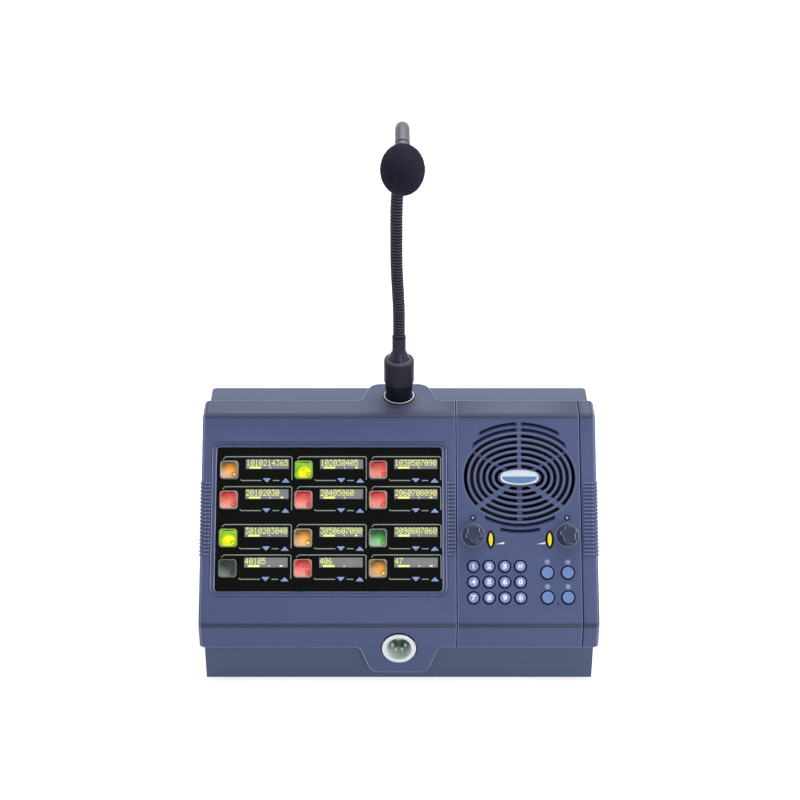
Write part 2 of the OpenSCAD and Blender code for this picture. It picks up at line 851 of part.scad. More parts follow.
module level_lights() {
    color("yellow") placed() for (p = level_at) at_control(p) {
        prism(-skin - 1, 0.5) lens(level_lens.x, level_lens.y);
        prism(-skin - 1.5, -skin) lens(level_hole.x + 1.6, level_hole.y + 2.5);
        slab(3, 8, control_board_z, -skin - 1);
    }
}

// Headset socket: a metal shell flanged behind the front wall, with an insert of four contacts
headset_bore_r = headset_bore_d / 2;
headset_shell_r = 12;
headset_floor = -17;
contact_r = 1;
contact_ring = 5;
contact_angles = [-5, -63, -117, -175];

module at_headset() {
    on_lip() translate([0, headset_y, 0]) children();
}

module headset_socket() {
    wall_back = -lip_step - base_wall;
    color("silver") placed() at_headset() difference() {
        union() {
            disc(headset_shell_r, headset_floor - 3, 0.2);
            disc(headset_ring_d / 2, -1.2, 0.8);
            prism(wall_back - 2, wall_back) rounded(32, 32, 4);
        }
        disc(headset_bore_r, headset_floor, 2);
    }
}

module headset_contacts() {
    color("darkslategray") placed() at_headset() {
        disc(headset_bore_r - 0.05, headset_floor, headset_floor + 2);
        for (a = contact_angles) rotate([0, 0, a]) translate([contact_ring, 0, headset_floor + 1])
            union() {
                cylinder(r = contact_r, h = 11.5);
                translate([0, 0, 11.5]) sphere(contact_r);
            }
    }
}

// Microphone: socket, plug with its lock sleeve, gooseneck, capsule and windscreen
module at_mic() {
    translate([0, mic_y, mic_z]) children();
}

plug_r = 10.1;
core_r = 9;
sleeve_r = 11.8;
sleeve_foot = 14.3;
sleeve_top = 35;
cone_top = 43;
collar_r = 5.35;
collar_top = 55.8;
neck_r = neck_d / 2;
cable_r = 2.2;
rib_depth = 0.5;
plain_r = neck_r - rib_depth;
plain_len = neck_d;

module mic_socket() {
    color("black") placed() at_mic() difference() {
        union() {
            disc(mic_hole_r - 0.2, -18, 0.1);
            disc(mic_hole_r + 0.6, -tab_sink, 0.7);
        }
        disc(plug_r + 0.3, -15, 2);
    }
}

module mic_plug() {
    color("black") placed() at_mic() difference() {
        rotate_extrude() polygon([
            [0, -15], [plug_r, -15], [plug_r, 1], [plug_r + 0.8, 14],
            [core_r, 14], [core_r, sleeve_top - 0.4],
            [core_r - 0.5, sleeve_top + 0.6], [collar_r, cone_top], [collar_r, collar_top], [0, collar_top]
        ]);
        disc(plain_r + 0.05, collar_top - plain_len, collar_top + 1);
        disc(cable_r, 20, collar_top);
    }
}

module mic_lock_sleeve() {
    color("black") placed() at_mic() rotate_extrude() polygon([
        [core_r + 0.3, sleeve_foot], [sleeve_r - 0.6, sleeve_foot], [sleeve_r, sleeve_foot + 0.8],
        [sleeve_r, sleeve_top - 1.7], [sleeve_r - 0.4, sleeve_top - 0.6], [sleeve_r - 1.4, sleeve_top],
        [core_r + 0.3, sleeve_top]
    ]);
}

// Gooseneck: its centre line rises from the plug with a slight sway, arches forward over
// a quarter turn and a little more, and ends at the capsule. Lengths are measured along it.
neck_foot_z = mic_z + collar_top - plain_len;
neck_rise = 171;
arch_turn = 90 + capsule_tilt;
arch_len = arch_r * arch_turn * PI / 180;
arch_end = neck_rise + arch_len;
neck_len = arch_end + plain_len;
sway = -1.9;
head_x = 2.4;
function ease(t) = let (u = min(max(t, 0), 1)) u * u * (3 - 2 * u);
function neck_x(l) = sway * ease((l - 25) / 55) + (head_x - sway) * ease((l - 110) / (arch_end - 120));
function neck_yz(l) = l < neck_rise
    ? [mic_y, neck_foot_z + l]
    : let (
        a = (min(l, arch_end) - neck_rise) / arch_r * 180 / PI,
        past = max(l - arch_end, 0)
    ) [
        mic_y - arch_r * (1 - cos(a)) - past * sin(a),
        neck_foot_z + neck_rise + arch_r * sin(a) + past * cos(a)
    ];
function neck_point(l) = [neck_x(l), neck_yz(l).x, neck_yz(l).y];
function unit(v) = v / norm(v);
function neck_tangent(l) = unit(neck_point(min(l + 0.5, neck_len)) - neck_point(max(l - 0.5, 0)));

// One ring of a swept tube, square to its path
sides = 8;
function ring(l, r) = let (
    t = neck_tangent(l),
    u = unit([1, 0, 0] - t.x * t),
    v = cross(t, u)
) [for (k = [0:sides - 1]) neck_point(l) + r * (cos(k * 360 / sides) * u + sin(k * 360 / sides) * v)];

// Faces between rings, from the first ring to the last, and flat end rings to the bore
function tube_faces(n, first, flip) = [for (i = [0:n - 2], k = [0:sides - 1]) let (
    a = first + i * sides + k,
    b = first + i * sides + (k + 1) % sides
) each flip
    ? [[a, a + sides, b], [b, a + sides, b + sides]]
    : [[a, b, a + sides], [b, b + sides, a + sides]]];
function end_faces(outer, inner, flip) = [for (k = [0:sides - 1]) let (
    o = outer + k,
    p = outer + (k + 1) % sides,
    i = inner + k,
    j = inner + (k + 1) % sides
) each flip ? [[o, i, p], [p, i, j]] : [[o, p, i], [p, j, i]]];

// A ribbed stretch of the gooseneck with its bore. Plain ends seat in the collar and the capsule.
bore_step = 6;

module neck_stretch(from, to, plain_from = 0, plain_to = 0) {
    start = from + plain_from;
    ribs = floor((to - plain_to - start) / rib_pitch);
    pitch = (to - plain_to - start) / ribs;
    outer = concat(
        plain_from > 0 ? [ring(from, plain_r)] : [],
        [for (i = [0:ribs - 1])
            each [ring(start + i * pitch, plain_r), ring(start + (i + 0.5) * pitch, neck_r)]],
        [ring(to - plain_to, plain_r)],
        plain_to > 0 ? [ring(to, plain_r)] : []
    );
    steps = ceil((to - from) / bore_step);
    inner = [for (i = [0:steps]) ring(from + (to - from) * i / steps, cable_r)];
    n = len(outer);
    m = len(inner);
    polyhedron(
        points = [for (r = concat(outer, inner)) each r],
        faces = concat(
            tube_faces(n, 0, true),
            tube_faces(m, n * sides, false),
            end_faces(0, n * sides, false),
            end_faces((n - 1) * sides, (n + m - 1) * sides, true)
        )
    );
}

// The neck bends at two knuckles: a ball on the lower stretch in a cup of the upper one
knuckle_at = [67, 123];
knuckle_gap = 4;
ball_r = 3.6;

module along_neck(l) {
    p = neck_point(l);
    t = neck_tangent(l);
    translate(p) rotate([0, acos(t.z), atan2(t.y, t.x)]) children();
}

module knuckle_ball(l) {
    along_neck(l) difference() {
        union() {
            sphere(ball_r);
            disc(2.8, -knuckle_gap / 2 - 3, 0);
        }
        disc(cable_r - 0.6, -10, 10);
    }
}

module knuckle_cup(l) {
    along_neck(l) sphere(ball_r + 0.3);
}

module gooseneck_lower() {
    color("black") placed() {
        neck_stretch(0, knuckle_at[0] - knuckle_gap / 2, plain_from = plain_len);
        knuckle_ball(knuckle_at[0]);
    }
}

module gooseneck_middle() {
    color("black") placed() {
        difference() {
            neck_stretch(knuckle_at[0] + knuckle_gap / 2, knuckle_at[1] - knuckle_gap / 2);
            knuckle_cup(knuckle_at[0]);
        }
        knuckle_ball(knuckle_at[1]);
    }
}

module gooseneck_upper() {
    color("black") placed() difference() {
        neck_stretch(knuckle_at[1] + knuckle_gap / 2, neck_len, plain_to = plain_len);
        knuckle_cup(knuckle_at[1]);
    }
}

// Capsule housing and windscreen lie on the line that leaves the arch, tilted down
capsule_r = 5.3;
sleeve_end_r = 4.9;
head_reach = 40;

module at_head() {
    translate(neck_point(arch_end)) rotate([90 + capsule_tilt, 0, 0]) children();
}

module mic_capsule() {
    color("black") placed() at_head() difference() {
        rotate_extrude() polygon([
            [0, 0], [sleeve_end_r - 0.5, 0], [sleeve_end_r, 0.8],
            [sleeve_end_r, 12.6], [sleeve_end_r - 0.5, 12.9], [sleeve_end_r - 0.5, 13.5],
            [capsule_r, 13.8], [capsule_r, 43.4], [capsule_r - 1, 44.4], [0, 44.4]
        ]);
        disc(plain_r + 0.05, -1, plain_len);
    }
}

module windscreen() {
    half_len = foam_len / 2;
    half_d = foam_d / 2;
    end_x = half_len - half_d + 2.5;
    color("black") placed() at_head() translate([0, 0, head_reach]) difference() {
        rotate_extrude() intersection() {
            rotate(90) oval(half_len, half_d, end_x);
            translate([0, -half_len]) square([half_d, foam_len]);
        }
        disc(capsule_r + 0.05, -half_len - 1, 5);
    }
}

base_shell();
bottom_plate();
feet();
case_screws();
main_board();
line_jacks();
power_inlet();
key_cover();
control_panel();
end_cap();
key_bezel();
key_displays();
arrow_keys();
key_board();
control_board();
rotary_encoders();
main_knob();
aux_knob();
speaker_driver();
grille_badge();
indicator_lights();
level_lights();
headset_socket();
headset_contacts();
mic_socket();
mic_plug();
mic_lock_sleeve();
gooseneck_lower();
gooseneck_middle();
gooseneck_upper();
mic_capsule();
windscreen();
for (i = [0:11]) talk_key(i);
for (i = [0:11]) dial_key(i);
for (i = [0:3]) function_key(i);
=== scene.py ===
# Desktop intercom panel: the looks of every piece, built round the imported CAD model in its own
# frame. Lengths in the sections are millimetres on the object and become metres when placed.
import bpy
import numpy as np
from math import radians
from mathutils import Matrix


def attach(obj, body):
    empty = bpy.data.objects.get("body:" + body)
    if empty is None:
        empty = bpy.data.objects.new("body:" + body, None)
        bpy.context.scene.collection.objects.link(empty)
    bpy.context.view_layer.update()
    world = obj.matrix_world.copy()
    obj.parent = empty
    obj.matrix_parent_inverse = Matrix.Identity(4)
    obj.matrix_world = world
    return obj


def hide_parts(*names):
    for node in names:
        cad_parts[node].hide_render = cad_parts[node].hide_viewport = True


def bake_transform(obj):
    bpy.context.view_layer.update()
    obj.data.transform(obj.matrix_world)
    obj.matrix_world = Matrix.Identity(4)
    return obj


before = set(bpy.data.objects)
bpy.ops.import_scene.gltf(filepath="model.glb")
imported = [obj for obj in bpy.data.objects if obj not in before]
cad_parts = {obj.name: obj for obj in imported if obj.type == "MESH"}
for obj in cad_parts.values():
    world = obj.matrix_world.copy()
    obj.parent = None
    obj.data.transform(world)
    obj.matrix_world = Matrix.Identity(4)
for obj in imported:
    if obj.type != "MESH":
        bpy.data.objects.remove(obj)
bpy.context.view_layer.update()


# Base shell: the lower housing, injection-moulded from blue-grey ABS with a fine eroded grain.
# It is one moulding with its walls and deck, and every other piece is screwed or clipped to it.
def rgb(red, green, blue):
    """Linear colour of a swatch given in the usual 0 to 255 steps."""
    c = np.array([red, green, blue]) / 255
    linear = np.where(c <= 0.04045, c / 12.92, ((c + 0.055) / 1.055) ** 2.4)
    return (*map(float, linear), 1.0)


def add_node(tree, kind, feeds=None, output=0, **settings):
    """What a new shader node gives; each of its feeds is a constant or another such value."""
    made = tree.nodes.new("ShaderNode" + kind)
    for key, value in settings.items():
        setattr(made, key, value)
    for key, value in (feeds or {}).items():
        if isinstance(value, Wire):
            tree.links.new(value.socket, made.inputs[key])
        else:
            made.inputs[key].default_value = value
    return Wire(tree, made.outputs[output])


class Wire:
    """A value in a shader tree. Sums and masks of it add the nodes that work them out."""

    def __init__(self, tree, socket):
        self.tree, self.socket = tree, socket

    def calc(self, operation, *others):
        """One step of arithmetic."""
        return add_node(self.tree, "Math", dict(enumerate((self, *others))), operation=operation)

    def __add__(self, other):
        return self.calc("ADD", other)

    def __sub__(self, other):
        return self.calc("SUBTRACT", other)

    def __mul__(self, other):
        return self.calc("MULTIPLY", other)

    def __pow__(self, other):
        return self.calc("POWER", other)

    def __abs__(self):
        return self.calc("ABSOLUTE")

    def part(self, axis):
        """One part of a vector."""
        return add_node(self.tree, "SeparateXYZ", {0: self}, axis)

    def measure(self, operation, *others):
        """A number from vectors: a distance, a length or a product."""
        return add_node(self.tree, "VectorMath", dict(enumerate((self, *others))), "Value", operation=operation)

    def pattern(self, kind, output, **feeds):
        """A texture or a mapping of this place."""
        return add_node(self.tree, kind, {"Vector": self, **{k.replace("_", " "): v for k, v in feeds.items()}}, output)

    def pores(self, scale):
        """Distance from the middles of scattered cells."""
        return self.pattern("TexVoronoi", "Distance", Scale=scale)

    def noise(self, scale, detail):
        """Cloudy noise round 0.5, with its number of octaves."""
        return self.pattern("TexNoise", "Fac", Scale=scale, Detail=detail)

    def ramp(self, none, full):
        """A mask that is 0 at one value, 1 at another, straight between them and level beyond."""
        return add_node(self.tree, "MapRange", {"Value": self, "From Min": none, "From Max": full})

    def band(self, start, full, fade, end):
        """A mask that rises from start to full and falls again from fade to end."""
        return self.ramp(start, full) * self.ramp(end, fade)

    def blend(self, first, second):
        """A colour between two others, by this share."""
        return add_node(self.tree, "Mix", {0: self, 6: first, 7: second}, 2, data_type="RGBA")

    def toned(self, value, purity=1.0):
        """This colour made lighter or darker, and duller."""
        return add_node(self.tree, "HueSaturation", {"Color": self, "Value": value, "Saturation": purity})


def surface_spot(tree):
    """The piece's own map, as a vector."""
    return add_node(tree, "UVMap", uv_map="UVMap")


def space(tree, kind="Object"):
    """The place in the frame, in metres, or the direction that the surface faces."""
    return add_node(tree, "TexCoord", output=kind)


def new_effect(name, colours, third="Height", **levels):
    """An empty node group with colour and number inputs. Its outputs are a Base Color, a Roughness
    and a third one."""
    tree = bpy.data.node_groups.new(name, "ShaderNodeTree")
    for label in colours:
        tree.interface.new_socket(label, in_out="INPUT", socket_type="NodeSocketColor")
    for label, value in levels.items():
        tree.interface.new_socket(label, in_out="INPUT", socket_type="NodeSocketFloat").default_value = value
    for label in ("Base Color", "Roughness", third):
        kind = "NodeSocketColor" if "Color" in label else "NodeSocketFloat"
        tree.interface.new_socket(label, in_out="OUTPUT", socket_type=kind)
    sockets = tree.nodes.new("NodeGroupInput").outputs
    return tree, {label: Wire(tree, sockets[label]) for label in (*colours, *levels)}


def give(tree, *results):
    """Links an effect's three results to its outputs."""
    for result, goal in zip(results, tree.nodes.new("NodeGroupOutput").inputs):
        tree.links.new(result.socket, goal)
    return tree


def finish(name, effect, values, bump=0.0, edge=0.0, **constants):
    """A material: the effect's outputs feed the Principled sockets of the same name, its Height
    feeds a bump of the given depth in metres, edge rounds the normal at edges over that radius,
    and the constants are set on the shader itself."""
    mat = bpy.data.materials.new(name)
    mat.use_nodes = True
    tree = mat.node_tree
    shader = tree.nodes["Principled BSDF"]
    for key, value in constants.items():
        shader.inputs[key.replace("_", " ")].default_value = value
    source = tree.nodes.new("ShaderNodeGroup")
    source.node_tree = effect
    for key, value in values.items():
        source.inputs[key].default_value = value
    for out in source.outputs:
        if out.name != "Height":
            tree.links.new(out, shader.inputs[out.name])
        elif bump:
            feeds = {"Height": Wire(tree, out), "Distance": bump, "Strength": 1.0}
            if edge:
                feeds["Normal"] = add_node(tree, "Bevel", {"Radius": edge}, samples=4)
            tree.links.new(add_node(tree, "Bump", feeds).socket, shader.inputs["Normal"])
    return mat


def moulded_skin():
    """Moulded plastic: slow mottling of the colour, a cellular grain for height, and a roughness
    that follows both. Its sheen level adds a painted highlight where the surface turns to its sides,
    its fold level painted shade where it bends between its upright, sloping and level faces and on
    the level faces themselves, and its glare level a painted reflection that greys its top."""
    tree, given = new_effect(
        "moulded_skin", ["Colour"], Mottle=0.05, Grain=1600.0, Gloss=0.5, Worn=0.0, Fold=0.0, Dust=0.0)
    place, side, up = space(tree), space(tree, "Normal").part(0), space(tree, "Normal").part(2)
    cell = place.pores(given["Grain"])
    drift = place.noise(26.0, 5.0) * 2.0 - 1.0
    spots = place.noise(420.0, 3.0) - 0.5
    # Painted highlight where the surface turns sideways; below, painted shade at the bends and on the top, and a
    # painted reflection greying the top.
    shade = (drift + spots) * given["Mottle"] + 1.0 + abs(side).band(0.12, 0.4, 0.75, 0.95) * given["Worn"]
    height = place.part(2)
    lower = height.ramp(0.075, 0.07) * up.band(0.16, 0.3, 0.58, 0.69)
    upper = height.ramp(0.158, 0.163) * up.band(0.71, 0.77, 0.988, 0.9995)
    level = up.ramp(0.97, 0.999)
    shade = shade - (lower + upper + level * 0.46) * given["Fold"]
    pure = level * given["Dust"] * -1.0 + 1.0
    rough = given["Gloss"] + drift * 0.06 + cell * 0.08
    return give(tree, given["Colour"].toned(shade, pure), rough, cell + spots * 0.6)


def soft_facets():
    """Modifier tree that welds a CAD mesh and shades it smooth except at real edges."""
    tree = bpy.data.node_groups.new("soft_facets", "GeometryNodeTree")
    tree.interface.new_socket("Geometry", in_out="INPUT", socket_type="NodeSocketGeometry")
    tree.interface.new_socket("Geometry", in_out="OUTPUT", socket_type="NodeSocketGeometry")
    plain = tree.nodes.new("GeometryNodeRemoveAttribute")
    plain.inputs["Name"].default_value = "custom_normal"
    weld = tree.nodes.new("GeometryNodeMergeByDistance")
    weld.inputs["Distance"].default_value = 2e-6
    angle = tree.nodes.new("GeometryNodeInputMeshEdgeAngle")
    soft = tree.nodes.new("FunctionNodeCompare")
    soft.operation = "LESS_THAN"
    soft.inputs["B"].default_value = radians(28)
    edges = tree.nodes.new("GeometryNodeSetShadeSmooth")
    edges.domain = "EDGE"
    faces = tree.nodes.new("GeometryNodeSetShadeSmooth")
    chain = [tree.nodes.new("NodeGroupInput"), plain, weld, faces, edges, tree.nodes.new("NodeGroupOutput")]
    for a, b in zip(chain, chain[1:]):
        tree.links.new(a.outputs[0], b.inputs[0])
    tree.links.new(angle.outputs["Unsigned Angle"], soft.inputs["A"])
    tree.links.new(soft.outputs[0], edges.inputs["Shade Smooth"])
    return tree


SKIN = moulded_skin()
FACETS = soft_facets()


def dress(material, *names):
    """Gives CAD nodes their finish and smooth shading."""
    for name in names:
        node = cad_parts[name]
        node.data.materials.clear()
        node.data.materials.append(material)
        node.modifiers.new("soft_facets", "NODES").node_group = FACETS


def plastic(name, colour, mottle, grain, gloss, bump=1e-5, specular=0.5, side_sheen=0.0, fold_shade=0.0, glare=0.0, **more):
    """A finish of moulded plastic, rubber, print or paint in a swatch's colour."""
    values = {"Colour": rgb(*colour), "Mottle": mottle, "Grain": grain, "Gloss": gloss,
              "Worn": side_sheen, "Fold": fold_shade, "Dust": glare}
    return finish(name, SKIN, values, bump=bump, Specular_IOR_Level=specular, **more)


# This finish greys the level faces of the base as a painted reflection.
dress(plastic("base_plastic", (83, 96, 127), mottle=0.06, grain=1900, gloss=0.5, bump=4e-5, specular=0.3,
              glare=0.18, edge=5e-4), "base_shell")


# Floor plate and feet: a pressed plate of galvanised steel closes the base from below, held by
# zinc-plated screws, and four rubber feet are pushed into it.
def rolled_metal():
    """Metal: fine drawn lines along one direction, cloudy tarnish and a roughness that follows."""
    tree, given = new_effect("rolled_metal", ["Colour"], Lines=0.05, Gloss=0.3)
    place = space(tree)
    lines = place.pattern("Mapping", 0, Scale=(60.0, 2400.0, 900.0)).noise(1.0, 2.0)
    both = lines + place.noise(120.0, 4.0) - 1.0
    return give(tree, given["Colour"].toned(both * given["Lines"] + 1.0), both * 0.12 + given["Gloss"], lines)


METAL = rolled_metal()


def metal(name, colour, lines, gloss, bump):
    """A finish of bare metal in a swatch's colour."""
    return finish(name, METAL, {"Colour": rgb(*colour), "Lines": lines, "Gloss": gloss}, bump=bump, Metallic=1.0)


dress(metal("plate_metal", (150, 154, 158), lines=0.3, gloss=0.42, bump=2e-5), "bottom_plate")
dress(metal("screw_zinc", (190, 192, 196), lines=0.2, gloss=0.3, bump=1e-5), "case_screws")
dress(plastic("foot_rubber", (30, 31, 33), mottle=0.2, grain=2600, gloss=0.8, bump=6e-5, specular=0.25), "feet")


# Circuit boards and rear sockets: glass-fibre boards with green solder mask and copper tracks,
# two square line jacks and the mains inlet, all of black plastic with metal contacts.
def tracked_board():
    """Circuit board: blocks of tracks from a brick pattern under a green mask, with gold pads."""
    tree, given = new_effect("tracked_board", ["Mask", "Track"])
    place = space(tree)
    tracks = place.pattern("TexBrick", "Color", Color1=(0, 0, 0, 1), Color2=(0.25, 0.25, 0.25, 1),
                           Mortar=(1, 1, 1, 1), Scale=130.0, Mortar_Size=0.045)
    pads = place.pores(210.0)
    mask = tracks.blend(given["Mask"], given["Track"])
    gold = pads.calc("LESS_THAN", 0.16).blend(mask, rgb(205, 170, 85))
    return give(tree, gold, pads * 0.3 + 0.3, tracks)


board_finish = finish("board", tracked_board(), {"Mask": rgb(18, 74, 44), "Track": rgb(46, 118, 70)}, bump=3e-5)
dress(board_finish, "main_board", "key_board", "control_board")
dress(plastic("socket_plastic", (24, 25, 27), mottle=0.12, grain=2400, gloss=0.42, bump=3e-5, specular=0.3),
      "line_jacks", "power_inlet")


# Cover: three moulded shells in a lighter blue-grey, bent over the front and top edges of the
# base. The key cover has the window and both tabs, the control panel the grille, and the end cap
# closes the right side. Their snap flanges meet at two seams.
# This finish paints a highlight where the cover turns to its sides, shade at its bends and on its top, and a greying
# reflection on its top.
dress(plastic("cover_plastic", (84, 95, 136), mottle=0.05, grain=1700, gloss=0.46, bump=4e-5, specular=0.3,
              side_sheen=0.25, fold_shade=0.55, glare=0.18, edge=5e-4), "key_cover", "control_panel", "end_cap")
MID_Y, FOOT_H, LEAN = 78.6798, 4.0, np.sqrt(0.5)
LIP_RIM, LIP_UP = (-1.28864, 32.7461), (0.1219, 0.9925)
SLOPE_FOOT, SLOPE_HEAD, REAR_RIM = (1.1, 52.2), (116.3584, 167.4584), (135.558, 167.4584)
SLOPE_OUT, LIP_OUT = (0, -LEAN, LEAN), (0, -LIP_UP[1], LIP_UP[0])
SEAMS = (44.3, 140.3)
SIDE_X, BEND_R, SEAM_HALF = 149.5, 8.0, 0.25


def to_frame(points):
    """Points (across, back, up) of the case in the frame, in metres."""
    return (points + (0, -MID_Y, FOOT_H)) / 1000


def put(origin, along, out, local):
    """Places points (across, along, out of the face) of one face of the case, in metres. The face
    has its origin on the middle plane, and its two directions are given as (back, up)."""
    x, y, z = np.moveaxis(np.asarray(local, float), -1, 0)
    back = origin[0] + y * along[0] + z * out[0]
    up = origin[1] + y * along[1] + z * out[1]
    return to_frame(np.stack([x, back, up], -1))


def on_slope(local):
    """Points on the key face, measured up the slope from its foot."""
    return put(SLOPE_FOOT, (LEAN, LEAN), SLOPE_OUT[1:], local)


def on_lip(local):
    """Points on the lip, measured up it from its rim."""
    return put(LIP_RIM, LIP_UP, LIP_OUT[1:], local)


def net(grid, around=False, uv=None):
    """Quads over a grid of points [i, j]. With around, j closes on itself. Where points meet, at
    poles and seams, they are welded, and a quad that loses a side becomes a triangle."""
    rows, cols = grid.shape[:2]
    i, j = np.meshgrid(np.arange(rows - 1), np.arange(cols - (not around)), indexing="ij")
    k = (j + 1) % cols
    quads = np.stack([i * cols + j, i * cols + k, (i + 1) * cols + k, (i + 1) * cols + j], -1).reshape(-1, 4)
    points, weld = np.unique(np.round(grid.reshape(-1, 3), 8), axis=0, return_inverse=True)
    corners = weld.reshape(-1)[quads]
    flat_uv = np.zeros((rows * cols, 2)) if uv is None else np.asarray(uv, float).reshape(-1, 2)
    kept = corners != np.roll(corners, -1, axis=1)
    faces = [corners[kept.all(1)]]
    marks = [flat_uv[quads[kept.all(1)]]]
    for a in range(4):
        lost = ~kept[:, a] & (kept.sum(1) == 3)
        order = [(a + 1) % 4, (a + 2) % 4, (a + 3) % 4]
        faces.append(corners[lost][:, order])
        marks.append(flat_uv[quads[lost][:, order]])
    return points, faces, marks


def make(name, nets, sharp=35):
    """One mesh object from nets, shaded smooth except at edges sharper than the angle."""
    points, faces, marks, base = [], [], [], 0
    for p, groups, uvs in nets:
        points.append(p)
        faces += [f for group in groups for f in (group + base).tolist()]
        marks += [m.reshape(-1, 2) for m in uvs]
        base += len(p)
    mesh = bpy.data.meshes.new(name)
    mesh.from_pydata(np.concatenate(points).tolist(), [], faces)
    mesh.uv_layers.new(name="UVMap").data.foreach_set("uv", np.concatenate(marks).ravel())
    mesh.shade_smooth()
    mesh.set_sharp_from_angle(angle=radians(sharp))
    made = bpy.data.objects.new(name, mesh)
    bpy.context.scene.collection.objects.link(made)
    return made


def fit(made, body, slot, material, *replaced):
    """Gives a new piece its finish and fixes it to a body of the frame."""
    made.data.materials.append(material)
    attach(made, body)
    if replaced:
        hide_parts(*replaced)


def unit(vectors):
    """Vectors brought to length one."""
    return vectors / np.linalg.norm(vectors, axis=-1, keepdims=True)


def ray(turn):
    """Directions (x, y) at angles."""
    return np.stack([np.cos(turn), np.sin(turn)], -1)


def soft_outline(corners, radius, inset=0.0, steps=7):
    """Points round a polygon with rounded corners, counter-clockwise, set in by an inset. Each arc
    has its centre one radius in from both sides and swings from one side's normal to the next."""
    corners = np.asarray(corners, float)
    way = unit(np.roll(corners, -1, axis=0) - corners)
    after = np.stack([way[:, 1], -way[:, 0]], -1)
    before = np.roll(after, 1, axis=0)
    centre = corners - radius * (before + after) / (1 + (before * after).sum(1, keepdims=True))
    swing = np.arctan2(before[:, 0] * after[:, 1] - before[:, 1] * after[:, 0], (before * after).sum(1))
    turn = np.arctan2(before[:, 1], before[:, 0])[:, None] + swing[:, None] * np.linspace(0, 1, steps)
    return (centre[:, None] + ray(turn) * (radius - inset)).reshape(-1, 2)


def at_height(outline, height):
    """An outline (x, y) lifted to a height."""
    outline = np.asarray(outline, float)
    return np.concatenate([outline, np.full((len(outline), 1), float(height))], -1)


def stacked(outlines, heights):
    """Rings from outlines (x, y), each lifted to its own height."""
    return np.stack([at_height(outline, height) for outline, height in zip(outlines, heights)])


def closed_on(line, rings):
    """Rings with a point added at each end, where the line that they follow starts and stops."""
    ends = [np.broadcast_to(line[end], rings[:1].shape) for end in (0, -1)]
    return np.concatenate([ends[0], rings, ends[1]])


def bead(points, out, radius, closed=False, sides=8):
    """A round bead half sunk along a path of placed points: a circle carried square to the path,
    with the face's outward direction as its upright. Open ends close on the path. The map says
    how upright the path runs."""
    out = np.broadcast_to(np.asarray(out, float), points.shape)
    step = np.roll(points, -1, axis=0) - np.roll(points, 1, axis=0) if closed else np.gradient(points, axis=0)
    way = unit(step)
    side = np.cross(out, way)
    turn = np.linspace(0, 2 * np.pi, sides, endpoint=False)[:, None]
    ring = points[:, None] + radius / 1000 * (np.cos(turn) * side[:, None] + np.sin(turn) * out[:, None])
    lean = 1 - np.abs(way[:, :1])
    if closed:
        ring, lean = np.concatenate([ring, ring[:1]]), np.concatenate([lean, lean[:1]])
    else:
        ring, lean = closed_on(points, ring), np.pad(lean, ((1, 1), (0, 0)), mode="edge")
    return net(ring, around=True, uv=np.repeat(np.stack([lean, lean], -1), sides, axis=1))


def rim_path():
    """The edge of a rim with its tab, from the left: the rim, a fillet down to the slanted flank, a
    round corner, the flat foot, and the same mirrored."""
    fillet, corner = np.radians(np.linspace(90, 160, 8)), np.radians(np.linspace(-20, -90, 8))
    half = np.concatenate([
        [(SEAMS[0] - SEAM_HALF, 0.0)], (34.3, -6.0) + 6.0 * ray(fillet), (14.93, -13.9) + 9.5 * ray(corner)])
    return np.concatenate([[(-SIDE_X, 0.0)], half[1:] * (-1, 1), half[::-1]])


def cover_line(steps=7):
    """Section of the cover as points and outward normals (back, up): up the lip, round the lower
    bend, up the slope, round the upper bend and back along the top."""
    knots = np.array([LIP_RIM, SLOPE_FOOT, SLOPE_HEAD, REAR_RIM])
    way = unit(np.diff(knots, axis=0))
    turn = np.arctan2(way[:, 0], -way[:, 1])
    swing = turn[:-1, None] + (turn[1:] - turn[:-1])[:, None] * np.linspace(0, 1, steps)
    arc = ray(swing)
    both = arc[:, 0] + arc[:, -1]
    centre = knots[1:-1] - BEND_R * both / (1 + (arc[:, 0] * arc[:, -1]).sum(1, keepdims=True))
    points = np.concatenate([knots[:1], (centre[:, None] + BEND_R * arc).reshape(-1, 2), knots[-1:]])
    return points, np.concatenate([arc[:1, 0], arc.reshape(-1, 2), arc[-1:, -1]])


def along_section(x, depth, radius):
    """A bead that follows the cover's section at one place across it, sunk by a depth."""
    line, normal = cover_line()
    path = np.column_stack([np.full(len(line), x), line - depth * normal])
    return bead(to_frame(path), np.column_stack([np.zeros(len(line)), normal]), radius)


CORNERS = np.array([(-1, -1), (1, -1), (1, 1), (-1, 1)])
WINDOW = (-53.9, 81.8)
WINDOW_LINES = [((175.4, 112.4), 3.2, -1.0, 0.5), ((181.0, 118.0), 6.0, -0.3, 0.4)]
GRIPS = [(-149.6, -145.9, (-149.2, -146.0)), (37.4, 43.4, (37.9,)), (142.2, 149.6, (149.3,))]
GRIP_S, GRIP_TOP, GRIP_BEAD, END_BEAD = 82 + 2.9 * (np.arange(20) - 9.5), 0.62, 0.28, 0.6
RIM_BEAD, LINE_BEAD = 0.45, 0.24
SEAM_LINES, SIDE_LINES = (SEAMS[0] - 0.75, SEAMS[0] + 0.75, SEAMS[1] - 0.75), (-151.3, 151.3)


def window_beads():
    """Beads along the window's edge and round its ledge, as (size, corner, height, radius)."""
    return [bead(on_slope(at_height(soft_outline(CORNERS / 2 * size, corner, steps=9) + WINDOW, height)),
                 SLOPE_OUT, radius, closed=True) for size, corner, height, radius in WINDOW_LINES]


